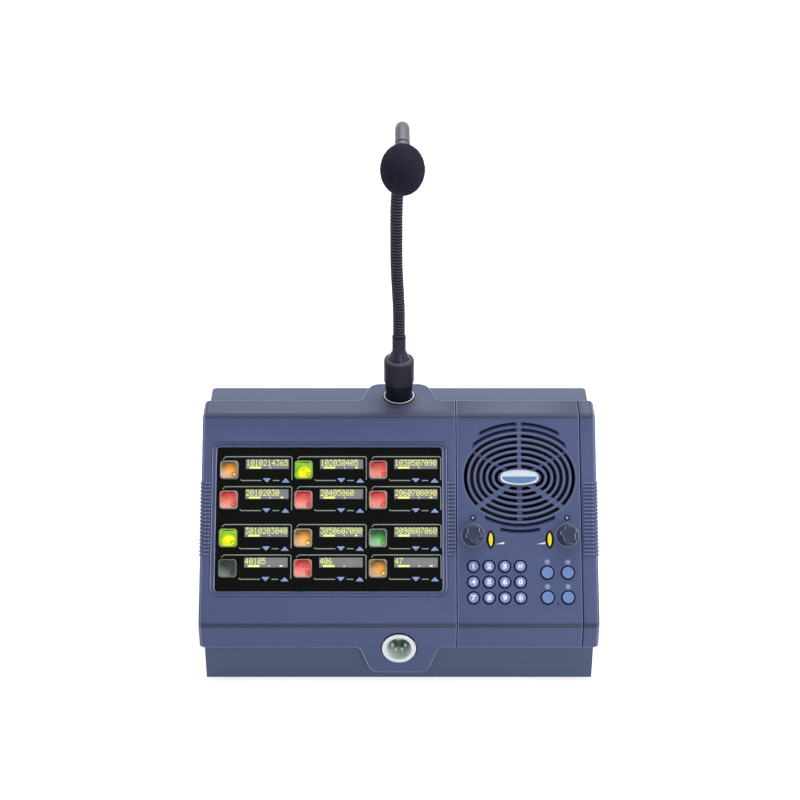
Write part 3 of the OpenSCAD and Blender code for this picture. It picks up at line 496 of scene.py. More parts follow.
def edge_beads():
    """Beads along the grip ribs and at their ends, along both rims with their tabs, beside the
    seams and down the round side edges."""
    face = []
    for left, right, ends in GRIPS:
        for s in GRIP_S:
            rib = [(x, s, GRIP_TOP) for x in (left, left + 1, right)]
            tips = [[(x, s + step, 0.4) for step in (-0.5, 0, 0.5)] for x in ends]
            face.append(bead(on_slope(rib), SLOPE_OUT, GRIP_BEAD))
            face += [bead(on_slope(tip), SLOPE_OUT, END_BEAD) for tip in tips]
    for path in (rim_path(), np.array([(SEAMS[0] + SEAM_HALF, 0), (90, 0), (SEAMS[1] - SEAM_HALF, 0)]),
                 np.array([(SEAMS[1] + SEAM_HALF, 0), (145, 0), (SIDE_X, 0)])):
        face.append(bead(on_lip(at_height(path, -0.2)), LIP_OUT, RIM_BEAD))
        face.append(bead(put(REAR_RIM, (1, 0), (0, 1), at_height(path * (1, -1), -0.2)), (0, 0, 1), RIM_BEAD))
    face += [along_section(x, 0.12, LINE_BEAD) for x in SEAM_LINES]
    return face + [along_section(x, 0.6, LINE_BEAD) for x in SIDE_LINES]


def bead_highlight():
    """Painted highlight along a bead: one tone where it runs level and a brighter one where it stands upright."""
    tree, given = new_effect("bead_highlight", ["Level", "Upright"])
    cloud = space(tree).noise(90.0, 4.0)
    tone = surface_spot(tree).part(0).blend(given["Level"], given["Upright"]).toned(cloud * 0.3 + 0.85)
    return give(tree, tone, cloud * 0.2 + 0.2, cloud)


EDGE = bead_highlight()


def edging(name, level, upright, specular):
    """A finish for beads, in the tones of its level and upright stretches; its lighter tones are painted highlights."""
    return finish(name, EDGE, {"Level": rgb(*level), "Upright": rgb(*upright)}, bump=1e-5, Specular_IOR_Level=specular)


# The window and cover edge beads are lighter than the cover: painted highlights along the window, ledge, grip ribs,
# rims, seams and side edges.
fit(make("window_edge_beads", window_beads(), sharp=60), "case", "cover_plastic",
    edging("window_edges", (86, 95, 134), (148, 155, 192), 0.5))
fit(make("cover_edge_beads", edge_beads(), sharp=60), "case", "cover_plastic",
    edging("cover_edges", (112, 119, 156), (142, 149, 186), 0.5))
# The dark beads sunk in the seams, and the same finish in the grille pockets, are painted shade.
seam_finish = plastic("seam_shade", (24, 28, 56), mottle=0.1, grain=2600, gloss=0.7, specular=0.1)
fit(make("cover_seams", [along_section(x, 0.35, 0.4) for x in SEAMS], sharp=60), "case", "cover_plastic", seam_finish)


# Key bezel: a plate of glossy black acrylic in the window. Each key and its display are framed by
# a line of pale screen print, which breaks off round the arrow keys.
KEY_X = np.array([-131.4, -73.8, -16.2])
KEY_S = np.array([119.9, 96.5, 67.1, 43.7])
BEZEL_FACE = -1.8


def ribbon(path, width, low, high):
    """A flat strip along a path of points (x, y): its four corners stand half the width to each
    side of the path, square to its direction, and its ends close on the middle line."""
    path = np.asarray(path, float)
    way = unit(np.gradient(path, axis=0))
    side = np.stack([-way[:, 1], way[:, 0]], -1) * width / 2
    ring = np.stack([path - side, path + side], 1)[:, [1, 1, 0, 0]]
    height = np.broadcast_to(np.array([low, high, high, low])[:, None], (len(path), 4, 1))
    body = np.concatenate([ring, height], -1)
    return closed_on(body.mean(1), body)


def bracket_paths():
    """The printed frame of one cell, from its key's middle: a slanted start, the top line, a round
    corner, the right line, and two short stretches of the bottom line."""
    corner = (47.0, 8.9) + 1.5 * ray(np.linspace(np.pi / 2, 0, 9))
    top = [(-4.9, 8.6), (-3.2, 10.4), (10.0, 10.4), (30.0, 10.4)]
    right = [(48.5, 4.0), (48.5, -2.0), (48.5, -7.8)]
    return [np.concatenate([top, corner, right]),
            np.array([(8.6, -7.3), (9.6, -8.2), (16.0, -8.2), (24.9, -8.2)]),
            np.array([(33.7, -8.2), (36.0, -8.2), (38.9, -8.2)])]


def set_on(places, shape, uv=None):
    """The same closed shape at several places of the key face."""
    return [net(on_slope(shape + np.array([*at, 0])), around=True, uv=uv) for at in places]


dress(plastic("bezel_acrylic", (12, 14, 13), mottle=0.15, grain=900, gloss=0.16, bump=2e-6, specular=0.06), "key_bezel")
cells = [(x, s) for s in KEY_S for x in KEY_X]
strips = [ribbon(path, 0.72, BEZEL_FACE - 0.05, BEZEL_FACE + 0.06) for path in bracket_paths()]
fit(make("bezel_print", [part for strip in strips for part in set_on(cells, strip)]), "case", "bezel_plastic",
    plastic("bezel_print", (166, 176, 166), mottle=0.12, grain=2200, gloss=0.55, specular=0.2))


# Displays: small dot-matrix modules with a grey face behind the bezel. The lit dots and level bars
# are pale yellow, and they show plain numbers.
DIGITS = ["0E11131519110E", "040C040404040E", "0E11010204081F", "1F02040201110E", "02060A121F0202",
          "1F101E0101110E", "0608101E11110E", "1F010204080808", "0E11110E11110E", "0E11110F01020C"]
DOT_PITCH, DOT = (0.545, 0.68), (0.5, 0.6)
NUMBERS = ["1010214365", "102030405", "1030507090", "20102030", "20405060", "2060708090", "3010203040",
           "3050607080", "3090807060", "40105", "406", "47"]
DISPLAY_AT, DISPLAY_FACE, FIRST_DOT = (29.3, 4.7), -2.3, (-15.9, 3.05)
BARS = [((-9.4, -2.75), (8.9, 1.5)), ((2.4, -2.8), (0.9, 1.0)), ((11.6, -2.7), (2.2, 1.1))]


def boxes(centres, sizes, low, high):
    """Closed boxes: eight corners about each centre (x, y), between two heights."""
    flat = centres[:, None] + CORNERS * sizes[:, None] / 2
    rise = np.array([low, high])[None, :, None]
    corners = np.concatenate([np.repeat(flat[:, None], 2, 1), np.broadcast_to(
        rise[..., None], (len(centres), 2, 4, 1))], -1).reshape(-1, 8, 3)
    sides = np.array([[3, 2, 1, 0], [4, 5, 6, 7], [0, 1, 5, 4], [1, 2, 6, 5], [2, 3, 7, 6], [3, 0, 4, 7]])
    faces = (sides[None] + 8 * np.arange(len(centres))[:, None, None]).reshape(-1, 4)
    return corners.reshape(-1, 3), [faces], [np.zeros((len(faces), 4, 2))]


def number_dots(number):
    """Middles of the lit dots of a number, five by seven dots for a digit, from the top left."""
    rows = [[int(DIGITS[int(d)][2 * r:2 * r + 2], 16) for r in range(7)] for d in number]
    lit = (np.array(rows)[:, :, None] >> np.arange(4, -1, -1)) & 1
    place, row, col = np.nonzero(lit)
    return np.stack([place * 6 + col, -row], -1) * DOT_PITCH


def display_marks():
    """The number, the level bar and its tick on all twelve displays. Every other one has a second
    tick."""
    spots, sizes = [], []
    for count, (cell, number) in enumerate(zip(cells, NUMBERS)):
        dots, bars = number_dots(number) + FIRST_DOT, BARS[:2 + count % 2]
        spots.append(np.concatenate([dots, [at for at, _ in bars]]) + cell + DISPLAY_AT)
        sizes += [DOT] * len(dots) + [size for _, size in bars]
    points, faces, marks = boxes(np.concatenate(spots), np.array(sizes), DISPLAY_FACE - 0.02, DISPLAY_FACE + 0.04)
    return on_slope(points), faces, marks


def lit_panel():
    """A lit display: a fine grid of cells over a cloudy face."""
    tree, given = new_effect("lit_panel", ["Face", "Glow"], third="Emission Color")
    place = space(tree)
    cloud = place.noise(70.0, 2.0)
    level = place.pattern("TexChecker", "Fac", Scale=1500.0) * 0.1 + 0.78 + cloud * 0.35
    return give(tree, given["Face"].toned(level), cloud * 0.15 + 0.2, given["Glow"].toned(level))


PANEL = lit_panel()
display_finish, mark_finish = (
    finish(name, PANEL, {"Face": rgb(*face), "Glow": rgb(*glow)}, Emission_Strength=1.0, Specular_IOR_Level=0.2)
    for name, face, glow in (("display", (116, 117, 122), (88, 88, 92)),
                             ("display_marks", (160, 170, 84), (228, 236, 124))))
dress(display_finish, "key_displays")
fit(make("display_marks", [display_marks()]), "case", "display", mark_finish)


# Talk keys: square caps of frosted clear plastic over two-colour lamps, each pressed on its own
# switch. The lamp shows through low in the cap, and a small ring lens sits in one corner.
KEY_HALF, KEY_CORNER, KEY_TOP = 7.0, 2.3, 1.5


def round_square(half, corner, insets, heights, steps=8):
    """Rings of a square with round corners: each ring is set in from the outline by its inset and
    stands at its height. Points follow the corner arcs, whose ends the straight sides join."""
    turn = np.concatenate([np.linspace(q, q + 90, steps) for q in (0, 90, 180, 270)])
    quarter = np.repeat([(1, 1), (-1, 1), (-1, -1), (1, -1)], steps, axis=0)
    inset = np.asarray(insets, float)[:, None, None]
    left = np.maximum(corner - inset, 0.05)
    return stacked(quarter * (half - inset - left) + ray(np.radians(turn)) * left, heights)


def talk_cap():
    """A pillow-topped cap: straight skirt, round shoulder, a shallow groove under the rim and a
    top that swells a little towards its middle. Its first and last rings close in poles."""
    shoulder = np.radians(np.linspace(0, 90, 7))
    insets = np.concatenate([[6.9, 0.4, 0], 0.9 * (1 - np.cos(shoulder)), [1.15, 1.35, 1.7, 2.6, 4, 5.4, 6.6, 7.1]])
    heights = np.concatenate([[-6.2, -6.2, -5.8], KEY_TOP - 0.9 + 0.9 * np.sin(shoulder),
                              KEY_TOP + np.array([0, -0.16, -0.05, 0.12, 0.26, 0.34, 0.37, 0.37])])
    rings = round_square(KEY_HALF, KEY_CORNER, insets, heights)
    return closed_on(rings.mean(1), rings)


def lamp_cap():
    """A lit cap on its own map, taken from -1 to 1 across it. The lamp's colour is full at the lamp
    and dims away from it. The frosted side and foot of the cap turn milky, the outline ends in a
    frosted rim, a painted shadow lies as a dark line under the top edge, and a small ring lens with a
    dark outline sits in the lower corner."""
    tree, given = new_effect("lamp_cap", ["Rim", "Dim", "Bright", "Milk", "Lens"], third="Emission Color",
                             Light=0.5, Frost=0.8, Wide=1.0, Narrow=0.1, Low=0.0)
    local = surface_spot(tree).pattern("Mapping", 0, Location=(-1, -1, 0), Scale=(2, 2, 1))
    across, along, place = local.part(0), local.part(1), space(tree)
    grain = place.noise(560.0, 4.0)
    ripple = (grain + place.noise(130.0, 2.0)) * 0.5 - 0.5
    lamp = local.measure("DISTANCE", add_node(tree, "CombineXYZ", {0: 0.12, 1: given["Low"]}))
    hue = (lamp + ripple * 0.7).ramp(given["Wide"], given["Narrow"]).blend(given["Dim"], given["Bright"])
    slant = along + ripple * 0.5 + across * 0.55
    hue = (slant.ramp(0.1, -1.0) * given["Frost"]).blend(hue, given["Milk"])
    reach = local.measure("DISTANCE", (0.58, -0.56, 0.0))
    hue = reach.ramp(0.21, 0.16).blend(hue, given["Lens"])
    outline = (abs(across) ** 5.0 + abs(along) ** 5.0) ** 0.2
    inside = (outline + ripple * 0.25).ramp(1.0, 0.8)
    # The lip band is a painted shadow under the cap's top edge.
    lip = along.band(0.68, 0.76, 0.82, 0.9) * abs(across).ramp(0.78, 0.5)
    shadow = lip.calc("MAXIMUM", reach.band(0.17, 0.21, 0.25, 0.3))
    tone = inside.blend(given["Rim"], hue).toned(ripple * 1.7 + 0.8 - shadow * 0.58)
    shown = (inside * 0.8 + 0.2) * given["Light"]
    return give(tree, tone, grain * 0.2 + 0.2, tone.toned(shown))


LAMP_CAP = lamp_cap()


def lamp_finish(name, rim, dim, bright, milk, lens, **levels):
    """A cap lit by one lamp: its five tones, and the levels that differ from the usual ones."""
    tones = {"Rim": rim, "Dim": dim, "Bright": bright, "Milk": milk, "Lens": lens}
    values = {key: rgb(*tone) for key, tone in tones.items()}
    return finish("cap_" + name, LAMP_CAP, values | levels, Emission_Strength=1.0, Specular_IOR_Level=0.3,
                  Coat_Weight=0.1)


LAMPS = {
    "amber": lamp_finish("amber", (166, 160, 150), (112, 78, 32), (255, 170, 62), (244, 212, 176), (244, 206, 80),
                         Light=0.62, Frost=0.6, Wide=0.95, Low=-0.22),
    "lime": lamp_finish("lime", (146, 182, 84), (138, 196, 46), (252, 248, 6), (250, 250, 60), (205, 226, 40),
                        Light=0.54, Frost=0.0, Wide=0.8, Narrow=0.58, Low=-0.42),
    "red": lamp_finish("red", (182, 156, 150), (186, 44, 43), (242, 122, 110), (242, 176, 168), (222, 96, 84),
                       Light=0.5, Wide=1.12, Low=-0.35),
    "green": lamp_finish("green", (146, 160, 148), (40, 78, 50), (80, 202, 90), (180, 214, 182), (110, 176, 84),
                         Light=0.4, Wide=0.9, Low=-0.35),
    "off": lamp_finish("off", (116, 128, 122), (38, 50, 45), (58, 72, 66), (160, 176, 168), (66, 82, 74),
                       Light=0.06, Low=-0.2),
}
KEY_LIT = ["amber", "lime", "red", "red", "red", "red", "lime", "amber", "green", "off", "red", "amber"]
cap_rings = talk_cap()
cap_map = cap_rings[..., :2] / (2 * KEY_HALF) + 0.5
for count, (cell, lit) in enumerate(zip(cells, KEY_LIT), 1):
    body = "talk_key_%d" % count
    fit(make("talk_cap_%d" % count, set_on([cell], cap_rings, cap_map)), body, "talk_cap", LAMPS[lit], body)


# Arrow keys: a mat of pale blue silicone rubber behind the bezel, with a pair of arrow-shaped
# pads standing through it at each cell.
ARROWS = [((29.1, -8.2), -1), ((43.7, -8.2), 1)]
ARROW_W, ARROW_H, ARROW_TOP = 7.2, 3.5, -1.1


def soft_pad(corners, radius, low, high, bevel):
    """A closed pad over a polygon with rounded corners: upright wall, a bevel in two steps, and a
    flat top. Both ends close in the middle of the corners."""
    rings = [soft_outline(corners, radius, inset, steps=4) for inset in (0, 0, 0.3 * bevel, bevel)]
    mid = np.broadcast_to(np.mean(corners, axis=0), rings[0].shape)
    return stacked([mid, *rings, mid], [low, low, high - bevel, high - 0.3 * bevel, high, high])


def rubber_pad():
    """Silicone: a cloudy tone, darker towards the pad's flanks as painted shade. The part of the
    surface normal that points out of the slope decides between the two."""
    tree, given = new_effect("rubber_pad", ["Top", "Flank"])
    facing = space(tree, "Normal").measure("DOT_PRODUCT", SLOPE_OUT)
    cloud = space(tree).noise(420.0, 3.0)
    tone = facing.ramp(0.3, 0.9).blend(given["Flank"], given["Top"])
    return give(tree, tone.toned(cloud * 0.9 + 0.55), cloud * 0.2 + 0.4, cloud)


def arrow_mat():
    """All the pads and the strip of mat under each pair."""
    tip = np.array([(-ARROW_W, -ARROW_H), (ARROW_W, -ARROW_H), (0, ARROW_H)]) / 2
    shapes = [soft_pad(CORNERS * (12.3, 2.6) + (36.4, -8.2), 0.6, -7.5, -6.0, 0.3)]
    shapes += [soft_pad(tip * sense + at, 0.45, -6.2, ARROW_TOP, 0.4) for at, sense in ARROWS]
    return [part for shape in shapes for part in set_on(cells, shape)]


arrow_finish = finish("arrow_rubber", rubber_pad(), {"Top": rgb(150, 178, 228), "Flank": rgb(96, 124, 180)},
                      bump=3e-5, Specular_IOR_Level=0.25)
fit(make("arrow_pads", arrow_mat()), "case", "arrow_rubber", arrow_finish, "arrow_keys")


# Speaker and badge: a paper-coned driver screwed behind the grille, and a domed enamel badge in
# the grille's middle, white over blue inside a bright rim. The badge is left bare.
PANEL_X = 93.1
BADGE, BADGE_W, BADGE_H = (PANEL_X, 113.8), 29.8, 11.7
RIB_PITCH = 4.75


def oval(half_w, half_h, end_x, insets, heights, steps=24):
    """Rings of an oval of four arcs. A point is its arc's centre plus the arc's radius along the
    outline's normal, so a ring set in by an inset just has shorter radii."""
    end_r = half_w - end_x
    drop = (end_x ** 2 - (half_h - end_r) ** 2) / (2 * (half_h - end_r))
    join = np.arctan2(drop, end_x)
    turn = np.concatenate([np.linspace(-join, join, steps), np.linspace(join, np.pi - join, steps)])
    turn = np.concatenate([turn, turn + np.pi])
    centre = np.repeat([(end_x, 0), (0, -drop), (-end_x, 0), (0, drop)], steps, axis=0)
    radius = np.repeat([end_r, half_h + drop, end_r, half_h + drop], steps)[:, None]
    return stacked(centre + ray(turn) * (radius - np.asarray(insets, float)[:, None, None]), heights)


def badge_rings():
    """The badge: a low edge, a raised rim, and a domed face that closes along the long axis."""
    rings = oval(BADGE_W / 2, BADGE_H / 2, 10.6, [0.6, 0, 0, 0.15, 0.5, 0.8, 1.0, 2.0, 3.0, 4.0],
                 [0, 0, 0.7, 0.88, 0.9, 0.86, 0.78, 0.86, 0.92, 0.95])
    middle = rings[-1:] * (1, 0, 1) + (0, 0, 0.02)
    floor = rings[:1] * (1, 0, 1)
    return np.concatenate([floor, rings, middle])


def enamel():
    """Badge enamel on its own map: a white rim and upper half, and a blue lower half."""
    tree, given = new_effect("enamel", ["Upper", "Lower"], Split=0.5)
    spot = surface_spot(tree)
    low = (given["Split"] - spot.part(1)).ramp(-0.02, 0.02)
    mid = spot.pattern("Mapping", 0, Location=(-1.07, -1.16, 0), Scale=(2.14, 2.32, 1))
    blue = low * mid.measure("LENGTH").ramp(0.98, 0.94)
    cloud = spot.noise(14.0, 4.0)
    tone = blue.blend(given["Upper"], given["Lower"]).toned(cloud * 0.12 + 0.94)
    return give(tree, tone, cloud * 0.15 + 0.15, cloud)


def grille_line(grow):
    """An oval of the grille, grown from its hub."""
    return oval(18.0 + grow, 8.7 + grow, 12.4, [0], [0], steps=60)[0, :, :2]


def grille_pocket_shadows():
    """Painted shadow: dark strips in the blind pockets above and below the slots, along their upper
    edges. Each pair of pockets is given by its ring and by how far it runs from the middle, above and below."""
    strips = []
    for ring, top, bottom in ((6, 36.2, 27.0), (7, 31.0, 15.4)):
        outer, inner = grille_line(RIB_PITCH * ring + 0.55), grille_line(RIB_PITCH * ring - 0.55)
        right = outer[(outer[:, 1] > 0) & (outer[:, 0] > 1.7) & (outer[:, 0] < top - 0.4)]
        foot = inner[(inner[:, 1] < 0) & (np.abs(inner[:, 0]) < bottom - 0.4)]
        strips += [right, right * (-1, 1), foot]
    return [part for path in strips for part in set_on([BADGE], ribbon(path, 1.5, -2.0, -1.75))]


dress(plastic("speaker_paper", (24, 25, 28), mottle=0.3, grain=700, gloss=0.75, bump=1e-4, specular=0.2),
      "speaker_driver")
# Painted shadow strips lying in the blind pockets of the grille.
fit(make("grille_pocket_shadows", grille_pocket_shadows()), "case", "cover_plastic", seam_finish)
# The rib beads between the slots are lighter than the cover as a painted highlight on their rounded crests.
ribs = [on_slope(at_height(grille_line(RIB_PITCH * (i + 0.5)) + BADGE, -0.75)) for i in range(6)]
fit(make("grille_ribs", [bead(rib, SLOPE_OUT, 0.95, closed=True) for rib in ribs], sharp=60), "case", "cover_plastic",
    plastic("grille_ribs", (99, 107, 146), mottle=0.08, grain=1700, gloss=0.4, bump=2e-5, specular=0.4))
badge_finish = finish(
    "badge_enamel", enamel(), {"Upper": rgb(230, 239, 250), "Lower": rgb(98, 140, 192), "Split": 0.555},
    bump=1e-5, Coat_Weight=0.6, Specular_IOR_Level=0.4)
rings = badge_rings()
fit(make("grille_badge_enamel", set_on([BADGE], rings, rings[..., :2] / (BADGE_W, BADGE_H) + 0.5)),
    "case", "badge", badge_finish, "grille_badge")


# Indicator and level lights: small lenses of smoke-grey plastic beside the grille and over the
# function keys, and two pointed lenses that glow yellow in black gaskets.
KNOB_X, FUNCTION_X, FUNCTION_S = 36.2, (20.4, 36.1), (40.4, 21.5)
SIDE_LIGHTS = [(PANEL_X - KNOB_X, 82.5), (PANEL_X + KNOB_X, 82.5)]
FUNCTION_AT = [(PANEL_X + x, s) for s in FUNCTION_S for x in FUNCTION_X]
KEY_LIGHTS = [(x, s + 8.2) for x, s in FUNCTION_AT]
LEVELS = [(PANEL_X - 22.6, 65.8), (PANEL_X + 22.6, 65.8)]
LENS_STEPS = np.array([0, 1, 1, 0.97, 0.9, 0.75, 0.5, 0.25, 0])


def circle(radius, steps=32):
    """Points round a circle."""
    return radius * ray(np.linspace(0, 2 * np.pi, steps, endpoint=False))


def pointed(half_w, half_l, steps=21):
    """Points round a pointed oval: an ellipse whose width falls off faster towards the tips."""
    turn = np.linspace(-np.pi / 2, np.pi / 2, steps)
    x, y = half_w * np.maximum(np.cos(turn), 0) ** 1.4, half_l * np.sin(turn)
    return np.concatenate([np.stack([x, y], -1), np.stack([-x, y], -1)[-2:0:-1]])


def domed(outline, low, high, dome):
    """A lens over an outline: a wall, then the outline drawn in to its middle as the height swells
    by the dome. It closes below in its middle too."""
    top = LENS_STEPS[2:]
    rise = np.concatenate([[low, low], high + dome * (1 - top ** 2) - 0.1 * (top == 1)])
    return stacked([outline * step for step in LENS_STEPS], rise)


def gasket(outer, inner, low, high):
    """A flat ring between two outlines, with a soft upper edge, closed on itself."""
    mid = (outer + inner) / 2
    rings = [outer, outer, outer * 0.8 + mid * 0.2, inner * 0.8 + mid * 0.2, inner, inner, outer]
    return stacked(rings, [low, high - 0.1, high, high, high - 0.1, low, low])


def level_glow():
    """A lit pointed lens on its own map: yellow in the middle and orange towards the tips."""
    tree, given = new_effect("level_glow", ["Middle", "Tips"], third="Emission Color")
    spot = surface_spot(tree)
    grain = spot.noise(7.0, 3.0)
    hue = abs(spot.part(1) - 0.46).ramp(0.2, 0.46).blend(given["Middle"], given["Tips"])
    return give(tree, hue.toned(grain * 0.3 + 0.3), grain * 0.2 + 0.15, hue.toned(grain * 0.3 + 0.5))


fit(make("indicator_lenses", set_on(SIDE_LIGHTS, domed(circle(1.2), -3, 0.1, 0.2))
         + set_on(KEY_LIGHTS, domed(circle(1.75), -3, 0.15, 0.3))), "case", "light_lens",
    plastic("light_lens", (158, 170, 208), mottle=0.15, grain=1200, gloss=0.25, specular=0.4), "indicator_lights")
level_finish = finish("level_lens", level_glow(), {"Middle": rgb(240, 228, 30), "Tips": rgb(246, 200, 132)},
                      Emission_Strength=1.0, Specular_IOR_Level=0.3)
tip_map = pointed(1.0, 1.0) * LENS_STEPS[:, None, None] / 2 + 0.5
fit(make("level_lenses", set_on(LEVELS, domed(pointed(1.6, 5.35), -3, 0.2, 0.25), tip_map)),
    "case", "level_lens", level_finish, "level_lights")
# The pale rims round the key lights and the knobs are painted highlights on the edges of their recesses.
rim_highlight_finish = plastic("rim_highlight", (142, 150, 182), mottle=0.06, grain=1700, gloss=0.4, bump=3e-5, specular=0.4)
fit(make("light_rims", set_on(KEY_LIGHTS, gasket(circle(2.35), circle(1.95), -0.4, 0.1))),
    "case", "cover_plastic", rim_highlight_finish)
fit(make("level_gaskets", set_on(LEVELS, gasket(pointed(3.15, 6.95), pointed(1.65, 5.4), -1.6, 0.5))),
    "case", "level_lens",
    plastic("level_rubber", (4, 4, 5), mottle=0.2, grain=2600, gloss=0.6, bump=2e-5, specular=0.05))
fit(make("light_gaskets", set_on(KEY_LIGHTS, gasket(circle(1.95), circle(1.78), -1.6, 0.05))
         + set_on(SIDE_LIGHTS, gasket(circle(2.2), circle(1.25), -1.6, 0.1))), "case", "light_lens",
    plastic("gasket_rubber", (9, 13, 32), mottle=0.2, grain=2600, gloss=0.6, bump=2e-5, specular=0.1))


# Level marks: a rising wedge of white print beside each level light, screened on the cover once it
# is moulded.
def plate(outline, low, high):
    """A flat closed plate over an outline, between two heights."""
    outline = np.asarray(outline, float)
    mid = np.broadcast_to(outline.mean(0), outline.shape)
    return stacked([mid, outline, outline, mid], [low, low, high, high])


wedge = plate([(-3.3, -0.85), (3.3, -0.85), (3.3, 0.85)], -0.05, 0.06)
fit(make("level_marks", set_on([(PANEL_X - 15.6, 63.1), (PANEL_X + 15.9, 63.1)], wedge)), "case", "cover_plastic",
    plastic("white_print", (250, 252, 255), mottle=0.04, grain=2600, gloss=0.5))


# Knobs: turned by a finger in one of five flutes. Glossy black plastic pushed on the D-shaped
# spindle of an encoder on the control board, each in a pale ring, a painted highlight on the edge of its recess.
KNOBS = {"main_knob": (PANEL_X - KNOB_X, 69.0, 20.0), "aux_knob": (PANEL_X + KNOB_X, 69.0, 65.0)}
KNOB_R, KNOB_TOP_R, KNOB_H, FLUTES, SHELF, DISH_R, EDGE_RING = 8.1, 6.6, 12.0, 5, 2.1, 30.0, 12


def knob_rings(start, steps=180):
    """A knob as radius over angle and height: a plain foot, a body that narrows upwards, and five
    round flutes cut from a low shelf to the top. A flute is a circle outside the body: along a ray
    at an angle to its middle, its near side stands at d cos a - sqrt(r r - d d sin a sin a), and the
    smaller of it and the body's radius holds, blended softly. The top is dished like a ball."""
    turn = np.linspace(0, 2 * np.pi, steps, endpoint=False)[None]
    off = (turn - np.radians(start)) % (2 * np.pi / FLUTES)
    off = np.minimum(off, 2 * np.pi / FLUTES - off)
    out, flute_r = KNOB_TOP_R + 3.0, 4.6
    reach = flute_r ** 2 - (out * np.sin(off)) ** 2
    flute = np.where(reach > 0, out * np.cos(off) - np.sqrt(np.maximum(reach, 0)), 20.0)
    rise = np.array([-0.6, -0.6, 0.6, 1.5, 1.8, 2.0, 2.2, 4, 6, 8, 10, 11.0, 11.45])[:, None]
    body = KNOB_R + (KNOB_TOP_R - KNOB_R) * np.clip(rise / KNOB_H, 0, 1) - np.array(
        [KNOB_R, 0, 0, 0, 0.1, 0.25, 0.3, 0, 0, 0, 0, 0.06, 0.3])[:, None]
    soft = 0.5 * (body + flute - np.sqrt((body - flute) ** 2 + 0.12)) - np.where(rise > 11.2, 0.25, 0.0)
    wall = np.where(rise > SHELF, np.minimum(soft + 0.08, body), body)
    dish = wall[-1] * np.array([0.94, 0.86, 0.7, 0.45, 0.2, 0])[:, None]
    top = KNOB_H - 0.95 + DISH_R - np.sqrt(DISH_R ** 2 - dish ** 2)
    radius, height = np.concatenate([wall, dish]), np.concatenate([np.broadcast_to(rise, wall.shape), top])
    return np.concatenate([radius[..., None] * ray(turn), height[..., None]], -1)


dress(metal("encoder_steel", (165, 168, 172), lines=0.25, gloss=0.35, bump=1e-5), "rotary_encoders")
knob_finish = plastic("knob_plastic", (55, 63, 92), mottle=0.12, grain=2100, gloss=0.26, specular=0.3)
# The bead along each knob's flute edges is a painted highlight, brightest where it stands upright.
knob_highlight_finish = edging("knob_edge", (50, 56, 80), (196, 201, 216), 0.4)
fit(make("knob_rims", set_on([at[:2] for at in KNOBS.values()], gasket(circle(9.1, 72), circle(8.4, 72), -0.3, 0.14))),
    "case", "cover_plastic", rim_highlight_finish)
for name, (x, s, start) in KNOBS.items():
    rings = knob_rings(start)
    fit(make(name + "_body", set_on([(x, s)], rings), sharp=50), name, "knob_plastic", knob_finish, name)
    edge = on_slope(rings[EDGE_RING] + np.array([x, s, 0.05]))
    fit(make(name + "_edge", [bead(edge, SLOPE_OUT, 0.22, closed=True)], sharp=60), name, "knob_plastic", knob_highlight_finish)


# Dial and function keys: round caps of coloured plastic that stand in clearance holes. The dial
# keys carry printed digits, and the function keys are plain.
DIAL_MARKS = ["1", "2", "3", "hash", "4", "5", "6", "0", "7", "8", "9", "star"]
DIAL_PITCH, DIAL_TOP = 12, 45.2
DIAL_AT = [(PANEL_X - KNOB_X + DIAL_PITCH * (i % 4), DIAL_TOP - DIAL_PITCH * (i // 4)) for i in range(12)]
DIAL_R, FUNCTION_R, CAP_TOP = 3.9, 4.45, 1.2


def dished(radius, reach):
    """Height of a cap's top over its middle plane: it sinks a little towards the middle."""
    return CAP_TOP - 0.14 * (1 - np.minimum(radius / reach, 1) ** 2)


def turned(radii, heights, steps):
    """A form turned from a profile."""
    return stacked([circle(radius, steps) for radius in radii], heights)


def round_cap(reach):
    """A turned cap: a skirt, a round shoulder and a shallow dish that closes in its middle."""
    shoulder = np.radians(np.linspace(0, 90, 6))
    inner = np.array([0.8, 0.55, 0.3, 0.0]) * reach
    radius = np.concatenate([[0, reach], reach - 0.5 * (1 - np.cos(shoulder)), inner])
    rise = np.concatenate([[-3.3, -3.3], CAP_TOP - 0.5 + 0.5 * np.sin(shoulder), dished(inner, reach)])
    return turned(radius, rise, steps=40)


def printed_mark(name, mark, size, at, reach):
    """A wide digit as a flat mesh, laid on the dished top of its cap."""
    curve = bpy.data.curves.new(name, "FONT")
    curve.body, curve.size, curve.bevel_resolution = mark, size, 1
    curve.bevel_depth = (0.07 if mark.isdigit() else 0.03) * size
    text = bpy.data.objects.new(name + "_outline", curve)
    bpy.context.scene.collection.objects.link(text)
    bpy.context.view_layer.update()
    mesh = bpy.data.meshes.new_from_object(text.evaluated_get(bpy.context.evaluated_depsgraph_get()))
    bpy.data.objects.remove(text)
    flat = np.empty(len(mesh.vertices) * 3)
    mesh.vertices.foreach_get("co", flat)
    flat = flat.reshape(-1, 3)
    flat[:, :2] -= (flat[:, :2].max(0) + flat[:, :2].min(0)) / 2
    flat[:, :2] *= (1.3, 1.5 if mark == "*" else 1.0)
    flat[:, 2] = 0.2 * flat[:, 2] + 0.03 + dished(np.hypot(flat[:, 0], flat[:, 1]), reach)
    mesh.vertices.foreach_set("co", on_slope(flat + np.array([*at, 0])).ravel())
    mesh.name = name
    made = bpy.data.objects.new(name, mesh)
    bpy.context.scene.collection.objects.link(made)
    return made


dial_finish, function_finish = (
    plastic(name, colour, mottle=0.06, grain=2200, gloss=0.42, bump=2e-5, specular=0.35)
    for name, colour in (("dial_cap", (138, 156, 212)), ("function_cap", (122, 150, 210))))
digit_finish = plastic("digit_print", (252, 254, 255), mottle=0.03, grain=2600, gloss=0.5)
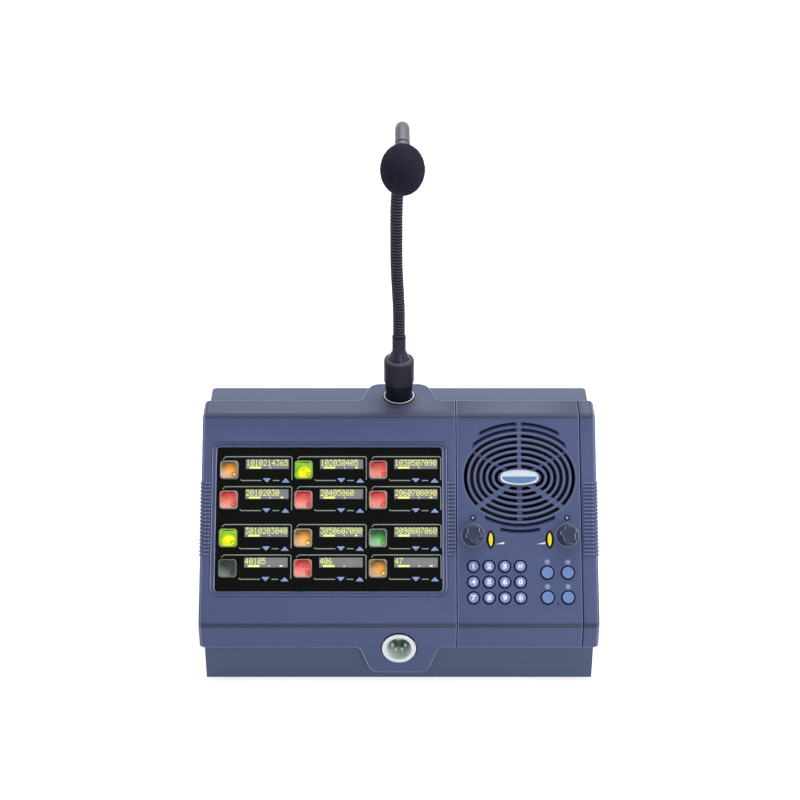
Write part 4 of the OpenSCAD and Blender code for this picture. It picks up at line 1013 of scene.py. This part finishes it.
# The dark rings in the key holes are painted shade in the gaps round the caps.
fit(make("key_wells", set_on(DIAL_AT, gasket(circle(5.15), circle(4.0), -2.8, 0.06))
         + set_on(FUNCTION_AT, gasket(circle(5.6), circle(4.55), -2.8, 0.06))), "case", "arrow_rubber",
    plastic("well_shade", (3, 12, 50), mottle=0.1, grain=2600, gloss=0.7, specular=0.03))
for mark, at in zip(DIAL_MARKS, DIAL_AT):
    body = "dial_key_" + mark
    fit(make("dial_cap_" + mark, set_on([at], round_cap(DIAL_R))), body, "dial_cap", dial_finish, body)
    shown, size = {"hash": ("#", 5.0), "star": ("*", 6.4)}.get(mark, (mark, 5.0))
    fit(printed_mark("dial_print_" + mark, shown, size, at, DIAL_R), body, "dial_cap", digit_finish)
for count, at in enumerate(FUNCTION_AT, 1):
    body = "function_key_%d" % count
    fit(make("function_cap_%d" % count, set_on([at], round_cap(FUNCTION_R))), body, "function_cap",
        function_finish, body)


# Headset socket: a round die-cast shell with a bright plated front ring, bolted behind the tab,
# and a green-grey insert with four plated pins and a moulded key between them.
HEADSET_UP, INSERT_FACE = -1.0, -15.0


def contact_insert():
    """The insert and its pins in one piece: the height out of the lip tells the dull plate from the
    plated pins and their round tips, which are painted white as painted highlights. The plate's
    green-grey is lightened as painted light in the shaded bore."""
    tree, given = new_effect("contact_insert", ["Plate", "Pin", "TipGlint"], third="Metallic")
    place = space(tree)
    face = float(on_lip((0.0, HEADSET_UP, 0.0)) @ LIP_OUT)
    height = (place.measure("DOT_PRODUCT", LIP_OUT) - face) * 1000.0
    pin, tip = height.ramp(-14.95, -14.8), height.ramp(-7.0, -4.5)
    cloud = place.noise(500.0, 3.0)
    tone = tip.blend(pin.blend(given["Plate"], given["Pin"]), given["TipGlint"])
    return give(tree, tone.toned(cloud * 0.3 + 0.85), cloud * 0.2 + 0.15, pin * (tip * -1.0 + 1.0))


insert_finish = finish("contact_insert", contact_insert(), {
    "Plate": rgb(104, 138, 124), "Pin": rgb(205, 208, 206), "TipGlint": rgb(244, 246, 246)}, Specular_IOR_Level=0.4)
dress(metal("socket_nickel", (190, 195, 200), lines=0.2, gloss=0.34, bump=5e-6), "headset_socket")
dress(insert_finish, "headset_contacts")
# The key block is a lighter green as painted light in the shaded bore.
key_block = CORNERS * (2.9, 2.6) + (0, HEADSET_UP + 4.6)
key_rings = soft_pad(key_block, 0.9, INSERT_FACE - 0.1, INSERT_FACE + 8.0, 0.5)
fit(make("headset_key", [net(on_lip(key_rings), around=True)]), "case", "contact_metal",
    plastic("insert_key", (120, 196, 158), mottle=0.15, grain=2000, gloss=0.4))
# This near-white finish is painted light on the bore wall, which lies in shade, and a painted highlight on the mouth
# bead; on the microphone socket it is the plated ring's own colour.
wall_finish = plastic("socket_wall", (238, 246, 243), mottle=0.1, grain=2400, gloss=0.5, specular=0.3)
wall = gasket(circle(9.53, 64), circle(9.3, 64), INSERT_FACE + 0.1, 0.2) + np.array([0, HEADSET_UP, 0])
mouth = bead(on_lip(at_height(circle(9.9, 64) + (0, HEADSET_UP), 0.75)), LIP_OUT, 0.35, closed=True)
fit(make("headset_wall", [net(on_lip(wall), around=True), mouth]), "case", "socket_metal", wall_finish)


# Microphone plug: a screw-lock connector of black-plated brass in a socket in the rear tab. The
# socket has a bright ring, and the lock sleeve turns by itself.
MIC_Y, SOFT_EDGE = 142.658, 4e-4


def on_plug(local):
    """Points about the plug's upright axis, measured up from the top of the tab."""
    return put((MIC_Y, REAR_RIM[1]), (1, 0), (0, 1), local)


dress(plastic("mic_metal", (36, 38, 52), mottle=0.15, grain=2600, gloss=0.36, specular=0.15, edge=SOFT_EDGE),
      "mic_socket", "mic_lock_sleeve")
dress(plastic("plug_metal", (36, 39, 60), mottle=0.15, grain=2600, gloss=0.22, specular=0.2, edge=SOFT_EDGE),
      "mic_plug")
capsule_finish = plastic("capsule_grey", (84, 80, 100), mottle=0.1, grain=2600, gloss=0.36, specular=0.4,
                         edge=SOFT_EDGE, Sheen_Weight=0.5, Sheen_Roughness=0.3)
dress(capsule_finish, "mic_capsule")
foot = turned([9.9, 10.2, 10.3, 11.0, 10.4, 9.9], [0.2, 0.2, 1.0, 14.05, 14.1, 0.2], steps=72)
fit(make("mic_plug_foot", [net(on_plug(foot), around=True)]), "case", "mic_metal",
    plastic("plug_foot", (12, 15, 28), mottle=0.15, grain=2600, gloss=0.4, specular=0.15))
# The rings at the cone's foot and the sleeve's top edge are painted highlights, lighter than the black plug.
plug_highlight = edging("plug_edges", (116, 112, 124), (92, 90, 102), 0.3)
for name, body, across, height, radius in (("mic_cone_ring", "case", 9.1, 35.3, 0.65),
                                           ("mic_sleeve_edge", "mic_lock_sleeve", 10.6, 34.75, 0.25)):
    ring = bead(on_plug(at_height(circle(across, 64), height)), (0, 0, 1), radius, closed=True)
    fit(make(name, [ring], sharp=60), body, "mic_metal", plug_highlight)
mic_ring = gasket(circle(12.05, 72), circle(11.15, 72), 0.4, 1.0)
fit(make("mic_socket_ring", [net(on_plug(mic_ring), around=True)]), "case", "socket_metal", wall_finish)


# Gooseneck: two steel strips wound into a flexible tube and blackened. It rises from the plug,
# sways a little and arches over to the capsule.
NECK_FOOT, NECK_RISE, ARCH_R, ARCH_TURN = 214.258, 171.0, 20.0, np.radians(101)
ARCH_END = NECK_RISE + ARCH_R * ARCH_TURN
KNUCKLES = (67.0, 123.0)


def eased(t):
    """Smooth step from 0 to 1."""
    u = np.clip(t, 0, 1)
    return u * u * (3 - 2 * u)


def neck_point(l):
    """Centre line at lengths l: straight up with a slight sway, then round the arch, then on along
    its end direction."""
    x = -1.9 * eased((l - 25) / 55) + 4.3 * eased((l - 110) / (ARCH_END - 120))
    turn = np.clip((l - NECK_RISE) / ARCH_R, 0, ARCH_TURN)
    past = np.maximum(l - ARCH_END, 0)
    back = MIC_Y - ARCH_R * (1 - np.cos(turn)) - past * np.sin(turn)
    up = NECK_FOOT + np.minimum(l, NECK_RISE) + ARCH_R * np.sin(turn) + past * np.cos(turn)
    return np.stack([x, back, up], -1)


def neck_tube(start, end, outer=4.75, groove=0.75, sides=32, per_rib=10, pitch=2.54):
    """A tube round the centre line with a narrow groove once a pitch. The winding is a helix, so
    the groove also runs once round the tube for each pitch. With no groove it is a plain sleeve."""
    l = np.linspace(start, end, int((end - start) / pitch * per_rib))
    line = neck_point(l)
    way = unit(np.gradient(line, axis=0))
    side = unit(np.array([1.0, 0, 0]) - way[:, :1] * way)
    other = np.cross(way, side)
    turn = np.linspace(0, 2 * np.pi, sides, endpoint=False)
    phase = 2 * np.pi * (l[:, None] / pitch) + turn
    depth = (0.5 - 0.5 * np.cos(phase)) ** 1.6
    radius = outer - groove * depth
    ring = (line[:, None] + radius[..., None] * (np.cos(turn)[:, None] * side[:, None]
                                                 + np.sin(turn)[:, None] * other[:, None]))
    depth = np.pad(depth, ((1, 1), (0, 0)), mode="edge")
    return net(to_frame(closed_on(line, ring)), around=True, uv=np.stack([depth, depth], -1))


def wound_steel():
    """Wound strip: the map's depth runs from the paler crest to the near black of the groove, a painted shade."""
    tree, given = new_effect("wound_steel", ["Crest", "GrooveShade"])
    dark = surface_spot(tree).part(0).ramp(0.1, 0.6)
    cloud = space(tree).noise(300.0, 3.0)
    tone = dark.blend(given["Crest"], given["GrooveShade"]).toned(cloud * 0.4 + 0.8)
    return give(tree, tone, dark * 0.4 + 0.35, cloud)


# The groove's near black is painted shade in the winding.
neck_finish = finish("neck_metal", wound_steel(), {"Crest": rgb(72, 70, 88), "GrooveShade": rgb(8, 8, 14)},
                     bump=1e-5, Specular_IOR_Level=0.2)
MEET, SLEEVE_ON = 95.0, 12.4


def knuckle(l, reach):
    """Where the neck starts and stops bending round a knuckle."""
    p = to_frame(neck_point(np.array([l - reach, l + reach])))
    return tuple(map(float, p[0])), tuple(map(float, p[1]))


lower_neck = make("gooseneck_lower_winding", [neck_tube(8.0, MEET)], sharp=80)
upper_neck = make("gooseneck_upper_winding", [neck_tube(MEET, ARCH_END + 2)], sharp=80)
for neck, bodies, at, stood_for in (
        (lower_neck, ("case", "gooseneck_middle"), KNUCKLES[0], ("gooseneck_lower", "gooseneck_middle")),
        (upper_neck, ("gooseneck_middle", "gooseneck_upper"), KNUCKLES[1], ("gooseneck_upper",))):
    neck.data.materials.append(neck_finish)
    start, end = knuckle(at, 26.0)
    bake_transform(neck)
    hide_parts(*stood_for)
fit(make("gooseneck_end_sleeve", [neck_tube(ARCH_END - 26, ARCH_END + SLEEVE_ON, outer=5.25, groove=0.0)]),
    "gooseneck_upper", "neck_metal", capsule_finish)


# Windscreen: a moulded ball of open-cell polyurethane foam, pushed over the capsule, where its
# own stretch holds it.
FOAM_LEN, FOAM_D, FOAM_REACH, FOAM_WAVES = 43.0, 31.0, 40.0, 48


def foam_ball(rows=150, cols=220):
    """An egg of revolution about the capsule's line, roughened by a sum of fine plane waves with
    seeded directions, which stands for the cut cells of the foam."""
    draw = np.random.RandomState(7)
    lat = np.linspace(-np.pi / 2, np.pi / 2, rows)[:, None]
    turn = np.linspace(0, 2 * np.pi, cols, endpoint=False)[None]
    way = np.stack([np.cos(lat) * np.cos(turn), np.cos(lat) * np.sin(turn), np.sin(lat) + 0 * turn], -1)
    ball = way * (FOAM_D / 2, FOAM_D / 2, FOAM_LEN / 2)
    waves = unit(draw.normal(size=(FOAM_WAVES, 3)))
    waves *= 2 * np.pi / draw.uniform(1.3, 3.2, (FOAM_WAVES, 1))
    rough = np.zeros(ball.shape[:2])
    for wave, start in zip(waves, draw.uniform(0, 6.28, FOAM_WAVES)):
        rough += np.cos(ball @ wave + start)
    ball = ball * 0.99 + way * (0.02 * rough)[..., None]
    return np.concatenate([ball[:1] * 0 + ball[:1].mean(1, keepdims=True), ball[1:-1],
                           ball[-1:] * 0 + ball[-1:].mean(1, keepdims=True)])


def at_head(local):
    """Points on the capsule's line: out along it, which leaves the arch and tilts down."""
    tip = neck_point(np.array([ARCH_END]))[0]
    out = np.array([0, -np.sin(ARCH_TURN), np.cos(ARCH_TURN)])
    side = np.array([1.0, 0, 0])
    up = np.cross(out, side)
    x, y, z = np.moveaxis(local, -1, 0)
    spot = tip + x[..., None] * side + y[..., None] * up + z[..., None] * out
    return to_frame(spot)


def foam_cells():
    """Open foam: cells of two sizes for height and shade, matt all over."""
    tree, given = new_effect("foam_cells", ["Colour"], Cells=900.0)
    place = space(tree)
    small = place.pores(given["Cells"] * 2.3)
    wall = place.pores(given["Cells"]) + small * 0.5
    return give(tree, given["Colour"].toned(wall * 1.1 + 0.35), small * 0.1 + 0.85, wall)


foam_finish = finish("foam", foam_cells(), {"Colour": rgb(35, 34, 49), "Cells": 900.0}, bump=4e-4,
                     Specular_IOR_Level=0.1)
foam = make("windscreen_foam", [net(at_head(foam_ball() + (0, 0, FOAM_REACH)), around=True)], sharp=180)
fit(foam, "gooseneck_upper", "foam", foam_finish, "windscreen")


# Studio: a pale table top that runs on as the backdrop, a broad soft light overhead, a fill from
# the front, a strip at each side, and the camera at the height of someone standing at the desk.
def studio_light(name, place, aim, size, power):
    """A soft rectangular light at a place, turned to face its aim."""
    lamp = bpy.data.lights.new(name, "AREA")
    lamp.shape, lamp.size, lamp.size_y, lamp.energy = "RECTANGLE", size[0], size[1], power
    made = bpy.data.objects.new(name, lamp)
    bpy.context.scene.collection.objects.link(made)
    made.location = place
    look = np.array(aim) - np.array(place)
    flat = np.hypot(look[0], look[1])
    made.rotation_euler = (np.arctan2(flat, -look[2]), 0, np.arctan2(look[1], look[0]) - np.pi / 2)


def seen_straight(tree):
    """1 for what the camera sees, by itself or in a reflection, and 0 for the light that is shed."""
    camera, glossy, through = (add_node(tree, "LightPath", output=f"Is {kind} Ray")
                               for kind in ("Camera", "Glossy", "Transmission"))
    return camera.calc("MAXIMUM", glossy.calc("MAXIMUM", through))


def floor_finish():
    """Pale table top: seen by the camera and in reflections it is lifted to white, so only the
    soft shadow under the object shows."""
    mat = bpy.data.materials.new("table_top")
    mat.use_nodes = True
    tree = mat.node_tree
    tree.nodes.remove(tree.nodes["Principled BSDF"])
    dull = add_node(tree, "BsdfDiffuse", {"Color": space(tree).noise(3.0, 3.0) * 0.04 + 0.78})
    lift = add_node(tree, "Emission", {"Strength": seen_straight(tree) * 0.7})
    both = add_node(tree, "AddShader", {0: dull, 1: lift})
    tree.links.new(both.socket, tree.nodes["Material Output"].inputs["Surface"])
    return mat


reach = np.linspace(-4, 4, 9)
table = make("table_top", [net(np.stack(np.meshgrid(reach, reach, [0.0], indexing="ij"), -1)[:, ::-1, 0])])
table.data.materials.append(floor_finish())

world = bpy.data.worlds.new("studio")
bpy.context.scene.world = world
world.use_nodes = True
air = world.node_tree
air.links.new((seen_straight(air) * 0.7 + 0.3).socket, air.nodes["Background"].inputs["Strength"])
air.nodes["Background"].inputs["Color"].default_value = (1, 1, 1, 1)
studio_light("overhead", (0.25, 0.75, 1.5), (0, 0, 0.1), (1.6, 1.0), 22)
studio_light("front_fill", (0.8, -1.6, 0.55), (0, 0, 0.1), (1.4, 0.6), 9)
studio_light("left_strip", (-1.5, -0.2, 0.7), (0, 0, 0.2), (0.3, 1.2), 3)
studio_light("right_strip", (1.5, -0.2, 0.7), (0, 0, 0.2), (0.3, 1.2), 5)

bpy.context.scene.view_settings.view_transform = "Standard"
lens = bpy.data.cameras.new("camera")
lens.lens, lens.sensor_width, lens.shift_x = 74.25, 36, 0.00125
camera = bpy.data.objects.new("camera", lens)
bpy.context.scene.collection.objects.link(camera)
camera.location = (0, -1.01448, 0.9086)
camera.rotation_euler = (radians(55.5), 0, 0)
bpy.context.scene.camera = camera
